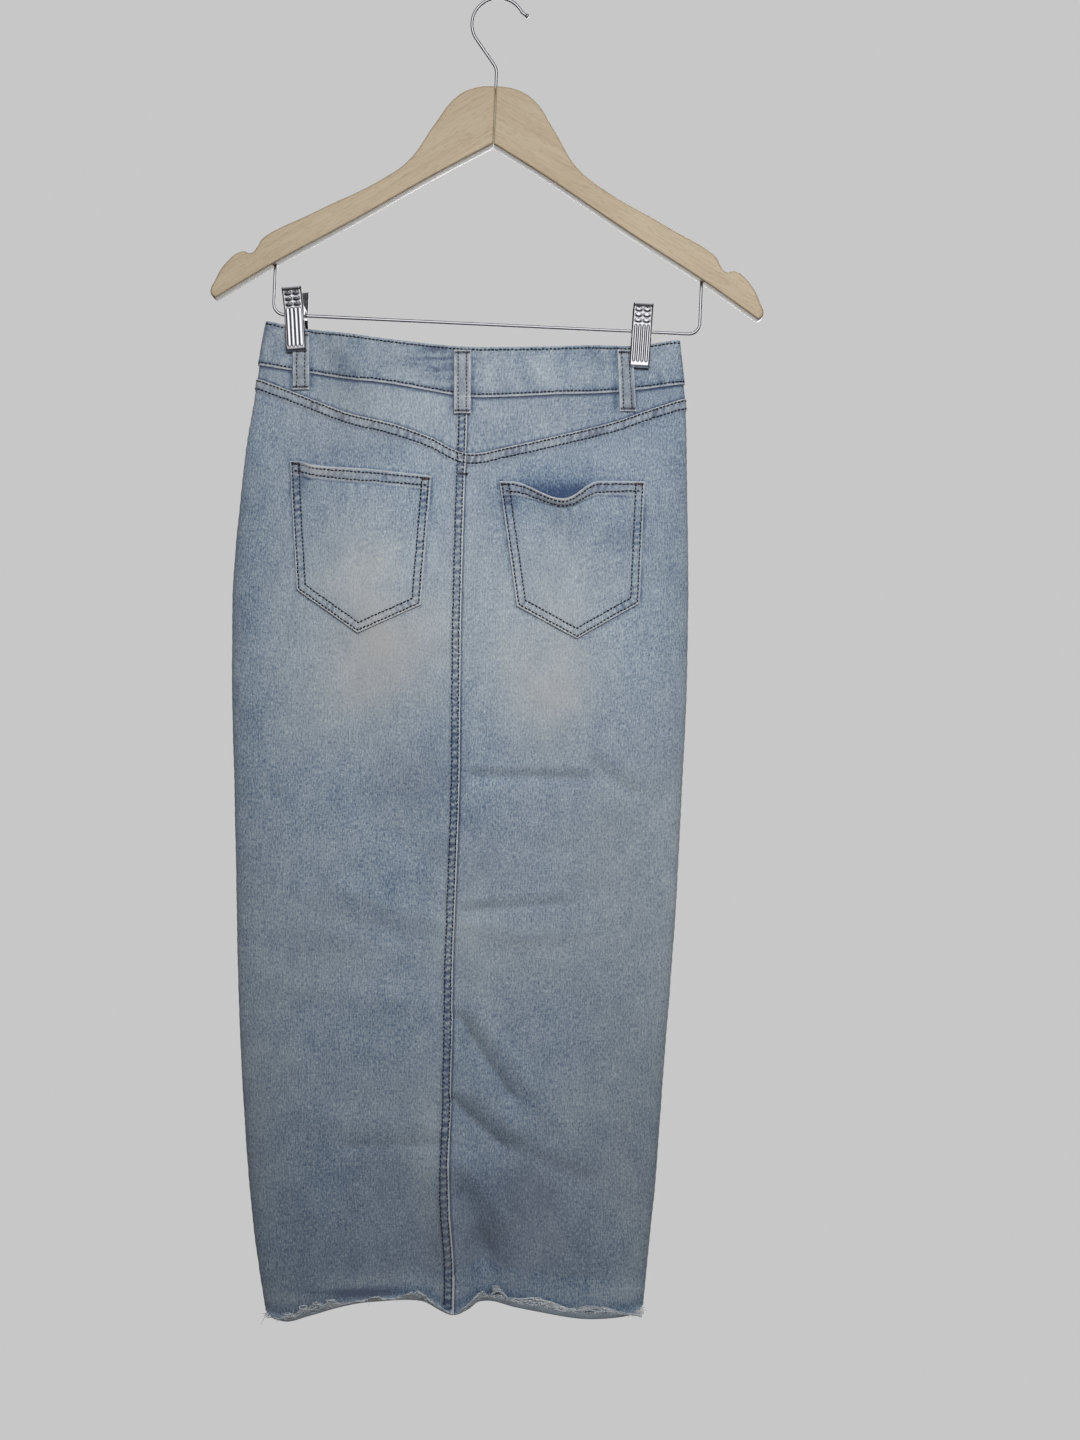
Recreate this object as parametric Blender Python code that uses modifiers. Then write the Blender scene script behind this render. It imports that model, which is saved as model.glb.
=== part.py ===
"""Long denim pencil skirt hanging by two metal clips from a wooden hanger, with its back towards -Y.

The origin is the inside top of the hook's bend, X points to the right as seen from the skirt's back,
Y points from its back to its front and Z points up. Every size below is in millimetres.
"""
import math
from collections import namedtuple

import bmesh
import bpy
from mathutils import Matrix, Vector

MM = 0.001

# Cloth, the gap that parts two sewn pieces, and about where its cross seams and its hem lie
PANEL_WALL = 1.2
LAPPED_WALL = 2.0
WAISTBAND_WALL = 2.3
POCKET_WALL = 1.3
LOOP_WALL = 1.8
SEAM_GAP = 0.3
LAID_ON_GAP = 0.5
CENTRE_LAP_WIDTH = 7.8
YOKE_LAP_WIDTH = 9.2
LAP_STEP = 0.8
BAND_HEIGHT = -300.0
YOKE_HEIGHT = -330.0
HEM_HEIGHT = -1045.0

# Hanger
HANGER_TILT = math.radians(2.3)
WOOD_THICKNESS = 12.0
WOOD_EDGE_RADIUS = 1.6
WIRE_DIAMETER = 2.5
HOOK_RADIUS = 21.4
HOOK_OPENING_ANGLE = math.radians(30)
HOOK_STEM_ANGLE = math.radians(216.9)
HOOK_STEM_END = -97.0
HOOK_BEND_RADIUS = 12.0
HOOK_TIP_LENGTH = 6.5
HOOK_TIP_SLOPE = 0.75
STEM_BORE_TOP = -60.0
BAR_HALF_WIDTH = 172.5
BAR_BEND_RADIUS = 9.0
BAR_LEFT_HEIGHT = -261.9
BAR_RIGHT_HEIGHT = -264.3
BAR_LEG_END = -211.0
BAR_LEG_BORE_LENGTH = 30.0
BORE_CLEARANCE = 0.3
BORE_SEGMENTS = 12

# Clips
CLIP_WIDTH = 16.0
CLIP_SHEET = 0.9
CLIP_EAR_RADIUS = 4.6
CLIP_EAR_HOLE_RADIUS = 2.7
CLIP_EAR_REACH = 6.6
BACK_EAR_INSET = 0.6
FRONT_EAR_INSET = 1.9
CLIP_DROP_ON_BAR = 0.3
SPRING_LENGTH = 8.4
SPRING_RADIUS = 3.9
SPRING_BORE_RADIUS = 2.1

# Front closing
BUTTON_RADIUS = 8.5
FLY_WIDTH = 38.0
WAIST_OVERLAP = 34.0
OVERLAP_LIFT_HELD_TO = 0.13
OVERLAP_LIFT_GONE_BY = 0.45

# Level sections of the skirt: its outline's left and right, its centre seam, and the swell of its two faces
Section = namedtuple("Section", "height left right seam back_depth front_depth")
SECTIONS = (
    Section(-1066.0, -187.6, 115.0, -35.4, 27.0, 27.0),
    Section(-1052.0, -190.5, 116.9, -35.2, 27.0, 27.0),
    Section(-1010.0, -196.8, 121.1, -34.8, 27.5, 26.5),
    Section(-962.0, -202.0, 126.0, -38.1, 27.5, 26.0),
    Section(-915.0, -205.7, 129.6, -38.1, 27.0, 25.5),
    Section(-844.0, -209.8, 134.9, -36.5, 26.5, 25.0),
    Section(-773.0, -212.1, 140.5, -35.5, 26.0, 24.5),
    Section(-701.0, -213.4, 145.1, -32.6, 26.0, 24.0),
    Section(-631.0, -214.8, 148.5, -30.4, 27.0, 23.5),
    Section(-567.0, -216.4, 151.7, -29.8, 28.5, 22.5),
    Section(-518.0, -216.4, 152.8, -29.3, 29.0, 21.5),
    Section(-470.0, -215.6, 153.3, -28.4, 28.0, 20.0),
    Section(-405.0, -209.9, 152.5, -26.8, 23.5, 18.0),
    Section(-356.0, -204.3, 151.7, -25.2, 18.5, 15.5),
    Section(-324.0, -198.6, 150.5, -24.4, 15.5, 13.5),
    Section(-280.0, -192.1, 145.8, -23.5, 12.0, 11.0),
    Section(-255.0, -187.2, 144.6, -23.0, 10.5, 10.0),
)

# Heights of the cross seams. Across runs from -1 at the left edge over 0 at the centre seam to 1 at the right
SeamLine = namedtuple("SeamLine", "across waist band_seam yoke_seam")
BACK_SEAM_LINES = (
    SeamLine(-1.00, -260.7, -297.0, -307.0),
    SeamLine(-0.84, -265.8, -301.2, -317.0),
    SeamLine(-0.72, -268.9, -304.3, -325.0),
    SeamLine(-0.54, -274.2, -310.6, -337.1),
    SeamLine(-0.34, -279.0, -315.6, -346.7),
    SeamLine(-0.17, -282.5, -321.2, -357.4),
    SeamLine(0.00, -284.8, -326.0, -371.0),
    SeamLine(0.20, -284.9, -325.6, -365.3),
    SeamLine(0.50, -283.4, -322.3, -351.9),
    SeamLine(0.68, -281.2, -319.2, -342.8),
    SeamLine(0.82, -280.0, -316.4, -333.6),
    SeamLine(1.00, -276.0, -312.3, -323.1),
)
FRONT_SEAM_LINES = (
    SeamLine(-1.00, -260.7, -297.0, -297.0),
    SeamLine(-0.78, -267.2, -303.0, -303.0),
    SeamLine(-0.40, -280.0, -316.6, -316.6),
    SeamLine(0.00, -288.4, -325.0, -325.0),
    SeamLine(0.40, -288.0, -324.6, -324.6),
    SeamLine(0.78, -280.6, -317.4, -317.4),
    SeamLine(1.00, -276.0, -312.3, -312.3),
)

# Raw hem: its lowest height, how far the cut edge curls up, in degrees, and how far it runs on upwards
Hem = namedtuple("Hem", "across lowest curl run_on")
BACK_HEM = (
    Hem(-1.00, -1058.0, 25.0, 0.3),
    Hem(-0.95, -1060.0, 90.0, 0.3),
    Hem(-0.86, -1060.9, 150.0, 0.8),
    Hem(-0.74, -1054.1, 150.0, 1.0),
    Hem(-0.58, -1046.1, 140.0, 1.0),
    Hem(-0.42, -1041.3, 125.0, 1.2),
    Hem(-0.16, -1040.5, 135.0, 2.6),
    Hem(-0.05, -1045.7, 145.0, 1.8),
    Hem(0.00, -1048.1, 140.0, 1.0),
    Hem(0.06, -1045.0, 140.0, 1.8),
    Hem(0.12, -1040.4, 145.0, 2.5),
    Hem(0.32, -1045.3, 160.0, 3.4),
    Hem(0.64, -1055.0, 165.0, 3.6),
    Hem(0.82, -1057.3, 160.0, 3.0),
    Hem(0.94, -1057.0, 95.0, 0.6),
    Hem(1.00, -1053.6, 25.0, 0.3),
)
FRONT_HEM = (
    Hem(-1.00, -1058.0, 25.0, 0.3),
    Hem(-0.90, -1056.0, 90.0, 0.5),
    Hem(-0.65, -1048.0, 150.0, 2.0),
    Hem(-0.30, -1042.6, 150.0, 2.6),
    Hem(0.00, -1045.4, 135.0, 1.6),
    Hem(0.35, -1041.6, 155.0, 2.6),
    Hem(0.70, -1047.0, 150.0, 2.0),
    Hem(0.90, -1053.0, 90.0, 0.5),
    Hem(1.00, -1053.6, 25.0, 0.3),
)
CURL_RADIUS = 3.4
HEM_DROP = 0.8
HEM_RUNS = (0.0, 0.25, 0.5, 0.75, 1.0)

# Folds fade out near the side edges: a larger share starts the fade nearer to the edge
FOLD_EDGE_SHARE = 4.0

# Soft folds: both ends, the distance over which each fades to the sides, and its height, less than 0 in a trough
Fold = namedtuple("Fold", "x_start z_start x_end z_end spread height")
BACK_FOLDS = (
    Fold(-36.5, -940.0, -35.5, -1060.0, 13.0, 6.0),
    Fold(-12.0, -1000.0, 2.0, -1062.0, 14.0, -4.5),
    Fold(-26.0, -838.0, 4.0, -880.0, 9.0, -2.4),
    Fold(-14.0, -872.0, 14.0, -902.0, 11.0, 1.4),
    Fold(-31.0, -896.0, -6.0, -928.0, 9.0, -2.8),
    Fold(-16.0, -930.0, 12.0, -966.0, 12.0, 1.8),
    Fold(-29.0, -960.0, -14.0, -1006.0, 9.0, -3.4),
    Fold(-62.0, -965.0, -70.0, -1050.0, 20.0, -3.0),
    Fold(-140.0, -985.0, -150.0, -1056.0, 24.0, 2.4),
    Fold(66.0, -990.0, 72.0, -1056.0, 30.0, 2.2),
    Fold(-18.0, -626.0, 78.0, -632.0, 9.0, -1.0),
    Fold(-2.0, -726.0, 84.0, -716.0, 10.0, -0.9),
    Fold(-118.0, -530.0, -96.0, -640.0, 26.0, -1.6),
    Fold(64.0, -534.0, 52.0, -640.0, 26.0, -1.6),
)
FRONT_FOLDS = (
    Fold(-36.0, -960.0, -36.0, -1050.0, 16.0, 3.6),
    Fold(-92.0, -900.0, -104.0, -1050.0, 26.0, -3.2),
    Fold(48.0, -910.0, 40.0, -1050.0, 26.0, -3.2),
    Fold(-70.0, -360.0, -98.0, -520.0, 24.0, -1.6),
    Fold(28.0, -370.0, 52.0, -530.0, 24.0, -1.6),
    Fold(-140.0, -640.0, -60.0, -652.0, 11.0, -1.0),
)

# The clips: where each hangs on the bar and how it leans
Clip = namedtuple("Clip", "name x lean turn")
CLIPS = (
    Clip("left", -164.4, math.radians(-2.9), math.radians(-6.0)),
    Clip("right", 115.2, math.radians(3.8), math.radians(-2.0)),
)
PINCH_HALF_WIDTH = 9.0
PINCH_SPREAD_AT_TOP = 38.0
PINCH_SPREAD_GROWTH = 0.55
PINCH_FULL_HEIGHT = -286.0
PINCH_END_HEIGHT = -405.0

# Back pockets: corners of the opening, the sides' feet and the point, and how far the mouth gapes
Pocket = namedtuple("Pocket", "name top_left top_right foot_left point foot_right gape dip")
POCKETS = (
    Pocket("pocket_left", (-166.8, -376.1), (-52.9, -389.9), (-159.8, -479.9), (-111.1, -514.3),
           (-60.8, -492.4), 0.6, 0.0),
    Pocket("pocket_right", (0.4, -394.2), (116.1, -392.8), (14.4, -493.5), (61.6, -518.8),
           (111.4, -490.5), 9.5, 13.8),
)

# Where along its width the mouth of a pocket rises and falls, and how far down the cloth follows it
MOUTH_RISE = (0.10, 0.46)
MOUTH_FALL = (0.50, 0.86)
MOUTH_DEPTH = 0.42

# Belt loops: face, middle of the upper and of the lower end, reach below the waistband, bow away from it
Loop = namedtuple("Loop", "name face x_top x_low reach_below bow")
LOOP_WIDTH = 13.7
LOOP_TOP_INSET = 3.6
LOOP_STEP_DOWN = (0.02, 0.16)
LOOPS = (
    Loop("belt_loop_back_left", "back", -160.0, -160.0, 14.8, 0.2),
    Loop("belt_loop_back_centre", "back", -29.0, -29.0, 14.2, 1.4),
    Loop("belt_loop_back_right", "back", 100.9, 103.6, 17.0, 0.2),
    Loop("belt_loop_front_left", "front", -100.0, -101.0, 15.6, 1.4),
    Loop("belt_loop_front_right", "front", 50.0, 51.0, 15.6, 1.4),
)

# Right half of the wooden hanger's outline, on its own centre line. Kind says whether a point is a corner
WoodPoint = namedtuple("WoodPoint", "x z kind")
WOOD_OUTLINE = (
    WoodPoint(0.0, -72.2, "corner"),
    WoodPoint(15.0, -73.8, "smooth"),
    WoodPoint(30.5, -81.6, "smooth"),
    WoodPoint(48.0, -105.0, "smooth"),
    WoodPoint(67.0, -134.0, "smooth"),
    WoodPoint(86.0, -149.2, "smooth"),
    WoodPoint(142.0, -179.6, "smooth"),
    WoodPoint(183.4, -203.2, "smooth"),
    WoodPoint(186.2, -208.6, "smooth"),
    WoodPoint(191.8, -214.6, "smooth"),
    WoodPoint(198.2, -213.4, "smooth"),
    WoodPoint(211.2, -223.0, "smooth"),
    WoodPoint(219.6, -237.4, "smooth"),
    WoodPoint(222.8, -248.2, "smooth"),
    WoodPoint(219.0, -251.8, "corner"),
    WoodPoint(174.0, -222.6, "smooth"),
    WoodPoint(112.0, -186.0, "smooth"),
    WoodPoint(40.0, -141.6, "smooth"),
    WoodPoint(0.0, -118.7, "corner"),
)

COLOURS = {
    "denim": ((0.24, 0.33, 0.42), 0.9, 0.0),
    "denim_band": ((0.27, 0.35, 0.43), 0.9, 0.0),
    "wood": ((0.52, 0.39, 0.25), 0.5, 0.0),
    "chrome": ((0.62, 0.62, 0.63), 0.2, 1.0),
    "brass": ((0.42, 0.30, 0.16), 0.35, 1.0),
}


# Reading the tables

def along(table, column, position):
    """A named column's value at a position in the first column, on a smooth curve through the rows."""
    keys = [row[0] for row in table]
    values = [getattr(row, column) for row in table]
    if position <= keys[0]:
        return values[0]
    if position >= keys[-1]:
        return values[-1]
    start = max(i for i, key in enumerate(keys[:-1]) if key <= position)
    step = keys[start + 1] - keys[start]

    def slope(i):
        before = max(i - 1, 0)
        after = min(i + 1, len(keys) - 1)
        return (values[after] - values[before]) / (keys[after] - keys[before])

    u = (position - keys[start]) / step
    rise = (2 * u - 3) * u * u
    return (values[start] * (1 + rise) - values[start + 1] * rise
            + step * u * (1 - u) * (slope(start) * (1 - u) - slope(start + 1) * u))


def smooth_step(low, high, value):
    u = min(max((value - low) / (high - low), 0.0), 1.0)
    return u * u * (3 - 2 * u)


# The skirt's surface

def half_width(across, z):
    """Distance from the centre seam to the cloth's inside at the left or right edge."""
    side = "right" if across > 0 else "left"
    return abs(along(SECTIONS, side, z) - along(SECTIONS, "seam", z)) - PANEL_WALL


def across_of(x, z):
    """How far across the face a point lies, -1 at the left edge and 1 at the right."""
    offset = x - along(SECTIONS, "seam", z)
    return max(-1.0, min(1.0, offset / half_width(offset, z)))


def fold_relief(folds, x, z):
    relief = 0.0
    for fold in folds:
        run = Vector((fold.x_end - fold.x_start, fold.z_end - fold.z_start))
        offset = Vector((x - fold.x_start, z - fold.z_start))
        along_run = offset.dot(run) / run.length_squared
        nearest = run * min(max(along_run, 0.0), 1.0)
        relief += fold.height * math.exp(-((offset - nearest).length / fold.spread) ** 2)
    return relief


def pinch(x, z):
    """How far a clip presses the two faces together, from 0 to 1."""
    pressed = smooth_step(PINCH_END_HEIGHT, PINCH_FULL_HEIGHT, z)
    spread = PINCH_SPREAD_AT_TOP + PINCH_SPREAD_GROWTH * max(PINCH_FULL_HEIGHT - z, 0.0)
    closeness = 0.0
    for clip in CLIPS:
        away = abs(x - clip.x - math.tan(clip.lean) * (z - BAR_LEFT_HEIGHT))
        closeness = max(closeness, 1 - smooth_step(PINCH_HALF_WIDTH, PINCH_HALF_WIDTH + spread, away))
    return closeness * pressed


def inside_point(face, across, z):
    """A point of the cloth's inside."""
    sign = -1 if face == "back" else 1
    turn = math.asin(max(-1.0, min(1.0, across)))
    x = along(SECTIONS, "seam", z) + math.sin(turn) * half_width(across, z)
    depth = along(SECTIONS, face + "_depth", z) * math.cos(turn)
    folds = BACK_FOLDS if face == "back" else FRONT_FOLDS
    depth += fold_relief(folds, x, z) * min(1.0, FOLD_EDGE_SHARE * math.cos(turn))
    return Vector((x, sign * (SEAM_GAP / 2 + max(depth, 0.0) * (1 - pinch(x, z))), z))


def outward(face, across, z):
    """The direction that points straight out of the cloth."""
    turn = math.asin(max(-1.0, min(1.0, across)))
    small_turn = 0.004
    low = inside_point(face, math.sin(max(turn - small_turn, -math.pi / 2)), z)
    high = inside_point(face, math.sin(min(turn + small_turn, math.pi / 2)), z)
    up = inside_point(face, across, z + 1) - inside_point(face, across, z - 1)
    normal = (high - low).cross(up)
    if face == "front":
        normal = -normal
    return normal.normalized()


def lifted_point(face, x, z, lift):
    """A point above the cloth's inside, for what is laid on a panel."""
    across = across_of(x, z)
    return inside_point(face, across, z) + outward(face, across, z) * lift


# Making objects

def material(name):
    made = bpy.data.materials.get(name)
    if made:
        return made
    colour, roughness, metallic = COLOURS[name]
    made = bpy.data.materials.new(name)
    made.use_nodes = True
    shader = made.node_tree.nodes["Principled BSDF"]
    shader.inputs["Base Color"].default_value = (*colour, 1.0)
    shader.inputs["Roughness"].default_value = roughness
    shader.inputs["Metallic"].default_value = metallic
    made.diffuse_color = (*colour, 1.0)
    return made


def add_object(name, data, material_name, cutter=False):
    made = bpy.data.objects.new(name, data)
    collection = "Cutters" if cutter else "Denim skirt"
    bpy.data.collections[collection].objects.link(made)
    if cutter:
        made.hide_render = True
        made.display_type = "WIRE"
    else:
        data.materials.append(material(material_name))
    return made


def sheet(name, columns, rows, place, wall, material_name):
    """An open grid laid out by place(column, row) and thickened outward to wall(column, row)."""
    bm = bmesh.new()
    bmesh.ops.create_grid(bm, x_segments=len(columns) - 1, y_segments=len(rows) - 1, size=1.0)
    mesh = bpy.data.meshes.new(name)
    thickest = max(wall(column, row) for column in columns for row in rows)
    weights = {}
    for vertex in bm.verts:
        column = columns[round((vertex.co.x + 1) / 2 * (len(columns) - 1))]
        row = rows[round((1 - vertex.co.y) / 2 * (len(rows) - 1))]
        weights[vertex.index] = wall(column, row) / thickest
        vertex.co = place(column, row) * MM
    bm.to_mesh(mesh)
    bm.free()
    mesh.shade_smooth()
    made = add_object(name, mesh, material_name)
    group = made.vertex_groups.new(name="wall")
    for index, weight in weights.items():
        group.add([index], weight, "REPLACE")
    solidify = made.modifiers.new("Wall", "SOLIDIFY")
    solidify.thickness = thickest * MM
    solidify.offset = 1.0
    solidify.vertex_group = "wall"
    solidify.use_quality_normals = True
    return made


def mesh_of(source):
    """The evaluated shape of an object, welded, as a mesh in world space."""
    bpy.context.view_layer.update()
    evaluated = source.evaluated_get(bpy.context.evaluated_depsgraph_get())
    mesh = bpy.data.meshes.new_from_object(evaluated)
    mesh.transform(source.matrix_world)
    bm = bmesh.new()
    bm.from_mesh(mesh)
    bmesh.ops.remove_doubles(bm, verts=bm.verts, dist=0.01 * MM)
    bm.to_mesh(mesh)
    bm.free()
    return mesh


def replace_by_mesh(source, name, material_name, cutter=False):
    mesh = mesh_of(source)
    curve = source.data
    bpy.data.objects.remove(source)
    if isinstance(curve, bpy.types.Curve):
        bpy.data.curves.remove(curve)
    mesh.materials.clear()
    return add_object(name, mesh, material_name, cutter)


def combine(target, other, operation):
    boolean = target.modifiers.new(other.name, "BOOLEAN")
    boolean.object = other
    boolean.operation = operation
    boolean.solver = "EXACT"


def wire(name, points, diameter, material_name):
    """A round wire through the points, closed at both ends."""
    curve = bpy.data.curves.new(name, "CURVE")
    curve.dimensions = "3D"
    curve.bevel_depth = diameter / 2 * MM
    curve.bevel_resolution = 2
    curve.use_fill_caps = True
    spline = curve.splines.new("POLY")
    spline.points.add(len(points) - 1)
    for point, place in zip(spline.points, points):
        point.co = (*(place * MM), 1.0)
    return add_object(name, curve, material_name)


def rod_cutter(name, start, end, radius):
    """A cylinder between two points, for boring a hole."""
    bm = bmesh.new()
    axis = end - start
    bmesh.ops.create_cone(bm, cap_ends=True, segments=BORE_SEGMENTS, radius1=radius * MM,
                          radius2=radius * MM, depth=axis.length * MM)
    mesh = bpy.data.meshes.new(name)
    bm.to_mesh(mesh)
    bm.free()
    made = add_object(name, mesh, None, cutter=True)
    turn = Vector((0, 0, 1)).rotation_difference(axis.normalized())
    made.matrix_world = Matrix.Translation((start + end) / 2 * MM) @ turn.to_matrix().to_4x4()
    return made


def arc(centre_x, centre_z, radius, start, end, steps):
    """Points of an arc in the hanger's plane, from one angle to another."""
    points = []
    for i in range(steps + 1):
        angle = start + (end - start) * i / steps
        points.append(Vector((centre_x + radius * math.cos(angle), 0, centre_z + radius * math.sin(angle))))
    return points


def hung(point):
    """Turns a point of the level hanger to where the tilted hanger has it."""
    return Matrix.Rotation(HANGER_TILT, 3, "Y") @ point


# The skirt's cloth pieces

Column = namedtuple("Column", "share inset lap")
Row = namedtuple("Row", "share drop lap curl")


def panel_columns(side, shares, insets, lap_steps):
    """Columns from one edge to the other as seen from outside: shares of the half width plus fixed insets."""
    made = [Column(0.0, SEAM_GAP / 2, lap_steps)]
    made += [Column(0.0, inset, inset < CENTRE_LAP_WIDTH + LAP_STEP / 2 and lap_steps) for inset in insets]
    made += [Column(share, 0.0, False) for share in shares]
    return [(side, column) for column in made]


def across_at(side, column, z):
    return side * min(1.0, column.share + column.inset / half_width(side, z))


def settle(line, side, column):
    """Height of a cross seam where a column meets it."""
    z = YOKE_HEIGHT
    for _ in range(3):
        z = line(across_at(side, column, z))
    return z


def seam_line(lines, name, shift):
    return lambda across: along(lines, name, across) + shift


def hem_point(face, hem, side, column, run):
    """A point of the raw hem, which curls out and up. Run goes from 0 where it starts to 1 at the cut edge."""
    across = across_at(side, column, HEM_HEIGHT)
    turn = math.radians(along(hem, "curl", across))
    start = along(hem, "lowest", across) - HEM_DROP + CURL_RADIUS * math.sin(min(turn, math.pi / 2))
    base = inside_point(face, across, start)
    normal = outward(face, across, start)
    flat = Vector((normal.x, normal.y, 0)).normalized()
    whole = CURL_RADIUS * turn + along(hem, "run_on", across)
    length = run * whole
    angle = min(length / CURL_RADIUS, turn)
    straight = max(length - CURL_RADIUS * turn, 0.0)
    out = CURL_RADIUS * (1 - math.cos(angle)) + straight * math.sin(angle)
    down = CURL_RADIUS * math.sin(angle) + straight * math.cos(angle)
    return base + flat * out + Vector((0, 0, -down))


def panel(name, face, side, columns, level_shares, top, hem, lap, top_lap, fly=False):
    """One panel from its top seam to the raw hem."""
    rows = [Row(0.0, 0.0, top_lap, None)]
    if top_lap:
        rows.append(Row(0.0, YOKE_LAP_WIDTH, True, None))
        rows.append(Row(0.0, YOKE_LAP_WIDTH + LAP_STEP, False, None))
    rows += [Row(share, 0.0, False, None) for share in level_shares]
    rows += [Row(1.0, 0.0, False, run) for run in HEM_RUNS]
    outside_order = columns if (side > 0) == (face == "back") else columns[::-1]

    def place(entry, row):
        column = entry[1]
        if row.curl is not None:
            return hem_point(face, hem, side, column, row.curl)
        upper = settle(top, side, column)
        lower = hem_point(face, hem, side, column, 0.0).z
        z = upper - row.drop + (lower - upper) * row.share
        return inside_point(face, across_at(side, column, z), z)

    def wall(entry, row):
        column = entry[1]
        lapped = row.lap or (lap and column.lap)
        if fly and column.inset <= FLY_WIDTH and column.share == 0 and row.share < FLY_SHARE:
            lapped = True
        return LAPPED_WALL if lapped else PANEL_WALL

    return sheet(name, outside_order, rows, place, wall, "denim")


# Where the panels' columns and rows lie, as shares of the half width and of the height
FLY_SHARE = 0.2025
SIDE_SHARES = (0.17, 0.29, 0.41, 0.53, 0.64, 0.74, 0.83, 0.90, 0.955, 0.99, 1.0)
YOKE_SHARES = (0.16, 0.26, 0.36, 0.46, 0.54, 0.60, 0.65, 0.70, 0.74, 0.78, 0.82, 0.86, 0.90, 0.94, 0.97, 0.992,
               1.0)
FRONT_SIDE_SHARES = (0.32, 0.40, 0.48, 0.57, 0.67, 0.77, 0.86, 0.93, 0.98, 1.0)
BACK_LEVELS = (0.03, 0.065, 0.105, 0.15, 0.195, 0.24, 0.285, 0.33, 0.375, 0.42, 0.47, 0.52, 0.57, 0.62, 0.665,
               0.70, 0.728, 0.754, 0.78, 0.806, 0.832, 0.858, 0.884, 0.91, 0.936, 0.966)
FRONT_LEVELS = (0.012, 0.026, 0.06, 0.11, 0.16, 0.20, 0.205, 0.26, 0.33, 0.40, 0.47, 0.54, 0.61, 0.68, 0.74,
                0.80, 0.86, 0.91, 0.96)


def add_back_panels():
    top = seam_line(BACK_SEAM_LINES, "yoke_seam", -SEAM_GAP / 2)
    left = panel_columns(-1, SIDE_SHARES, (1.4, CENTRE_LAP_WIDTH, CENTRE_LAP_WIDTH + LAP_STEP, 16.0), True)
    right = panel_columns(1, SIDE_SHARES, (1.4, 6.0, 12.0, 19.0), False)
    panel("back_panel_left", "back", -1, left, BACK_LEVELS, top, BACK_HEM, True, True)
    panel("back_panel_right", "back", 1, right, BACK_LEVELS, top, BACK_HEM, False, True)


def add_front_panels():
    top = seam_line(FRONT_SEAM_LINES, "yoke_seam", -SEAM_GAP / 2)
    left = panel_columns(-1, FRONT_SIDE_SHARES, (1.4, 12.0, FLY_WIDTH, FLY_WIDTH + LAP_STEP), False)
    right = panel_columns(1, FRONT_SIDE_SHARES, (1.4, 12.0, 30.0), False)
    panel("front_panel_left", "front", -1, left, FRONT_LEVELS, top, FRONT_HEM, False, False, fly=True)
    panel("front_panel_right", "front", 1, right, FRONT_LEVELS, top, FRONT_HEM, False, False)


def add_yokes():
    upper = seam_line(BACK_SEAM_LINES, "band_seam", -SEAM_GAP / 2)
    lower = seam_line(BACK_SEAM_LINES, "yoke_seam", SEAM_GAP / 2)
    levels = (0.0, 0.25, 0.5, 0.75, 1.0)
    left = panel_columns(-1, YOKE_SHARES, (1.4, CENTRE_LAP_WIDTH, CENTRE_LAP_WIDTH + LAP_STEP, 16.0), True)
    right = panel_columns(1, YOKE_SHARES, (1.4, 6.0, 12.0, 19.0), False)
    for name, side, columns in (("yoke_back_left", -1, left), ("yoke_back_right", 1, right)):

        def place(entry, level, side=side):
            column = entry[1]
            high = settle(upper, side, column)
            low = settle(lower, side, column)
            z = high + (low - high) * level
            return inside_point("back", across_at(side, column, z), z)

        def wall(entry, level):
            return LAPPED_WALL if entry[1].lap else PANEL_WALL

        ordered = columns if side > 0 else columns[::-1]
        sheet(name, ordered, levels, place, wall, "denim")


def add_waistband():
    """A shaped band in three pieces, joined at the side seams. Its left front end laps over the right one."""
    drops = (0.0, 0.03, 0.35, 0.68, 1.0)
    back_across = [-share for share in reversed(YOKE_SHARES)] + [0.0] + list(YOKE_SHARES)
    front_half = [0.10, 0.22, 0.34, 0.46, 0.57, 0.66, 0.73, 0.78, 0.82, 0.86, 0.90, 0.94, 0.97, 0.992, 1.0]

    def band(name, face, columns, lines, lift):
        def place(across, drop):
            high = along(lines, "waist", across)
            low = along(lines, "band_seam", across) + SEAM_GAP / 2
            z = high + (low - high) * drop
            if lift == 0:
                return inside_point(face, across, z)
            raised = lift * (1 - smooth_step(OVERLAP_LIFT_HELD_TO, OVERLAP_LIFT_GONE_BY, -across))
            return inside_point(face, across, z) + outward(face, across, z) * raised

        def wall(across, drop):
            return WAISTBAND_WALL if drop > 0 else WAISTBAND_WALL - LAP_STEP

        sheet(name, columns, drops, place, wall, "denim_band")

    band("waistband_back", "back", back_across, BACK_SEAM_LINES, 0.0)
    lap_end = WAIST_OVERLAP / 2 / half_width(1, BAND_HEIGHT)
    right = [across for across in reversed(front_half)] + [0.0, -lap_end]
    left = [lap_end, 0.0] + [-across for across in front_half]
    band("waistband_front_right", "front", right, FRONT_SEAM_LINES, 0.0)
    band("waistband_front_left", "front", left, FRONT_SEAM_LINES, WAISTBAND_WALL + LAID_ON_GAP)


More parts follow.
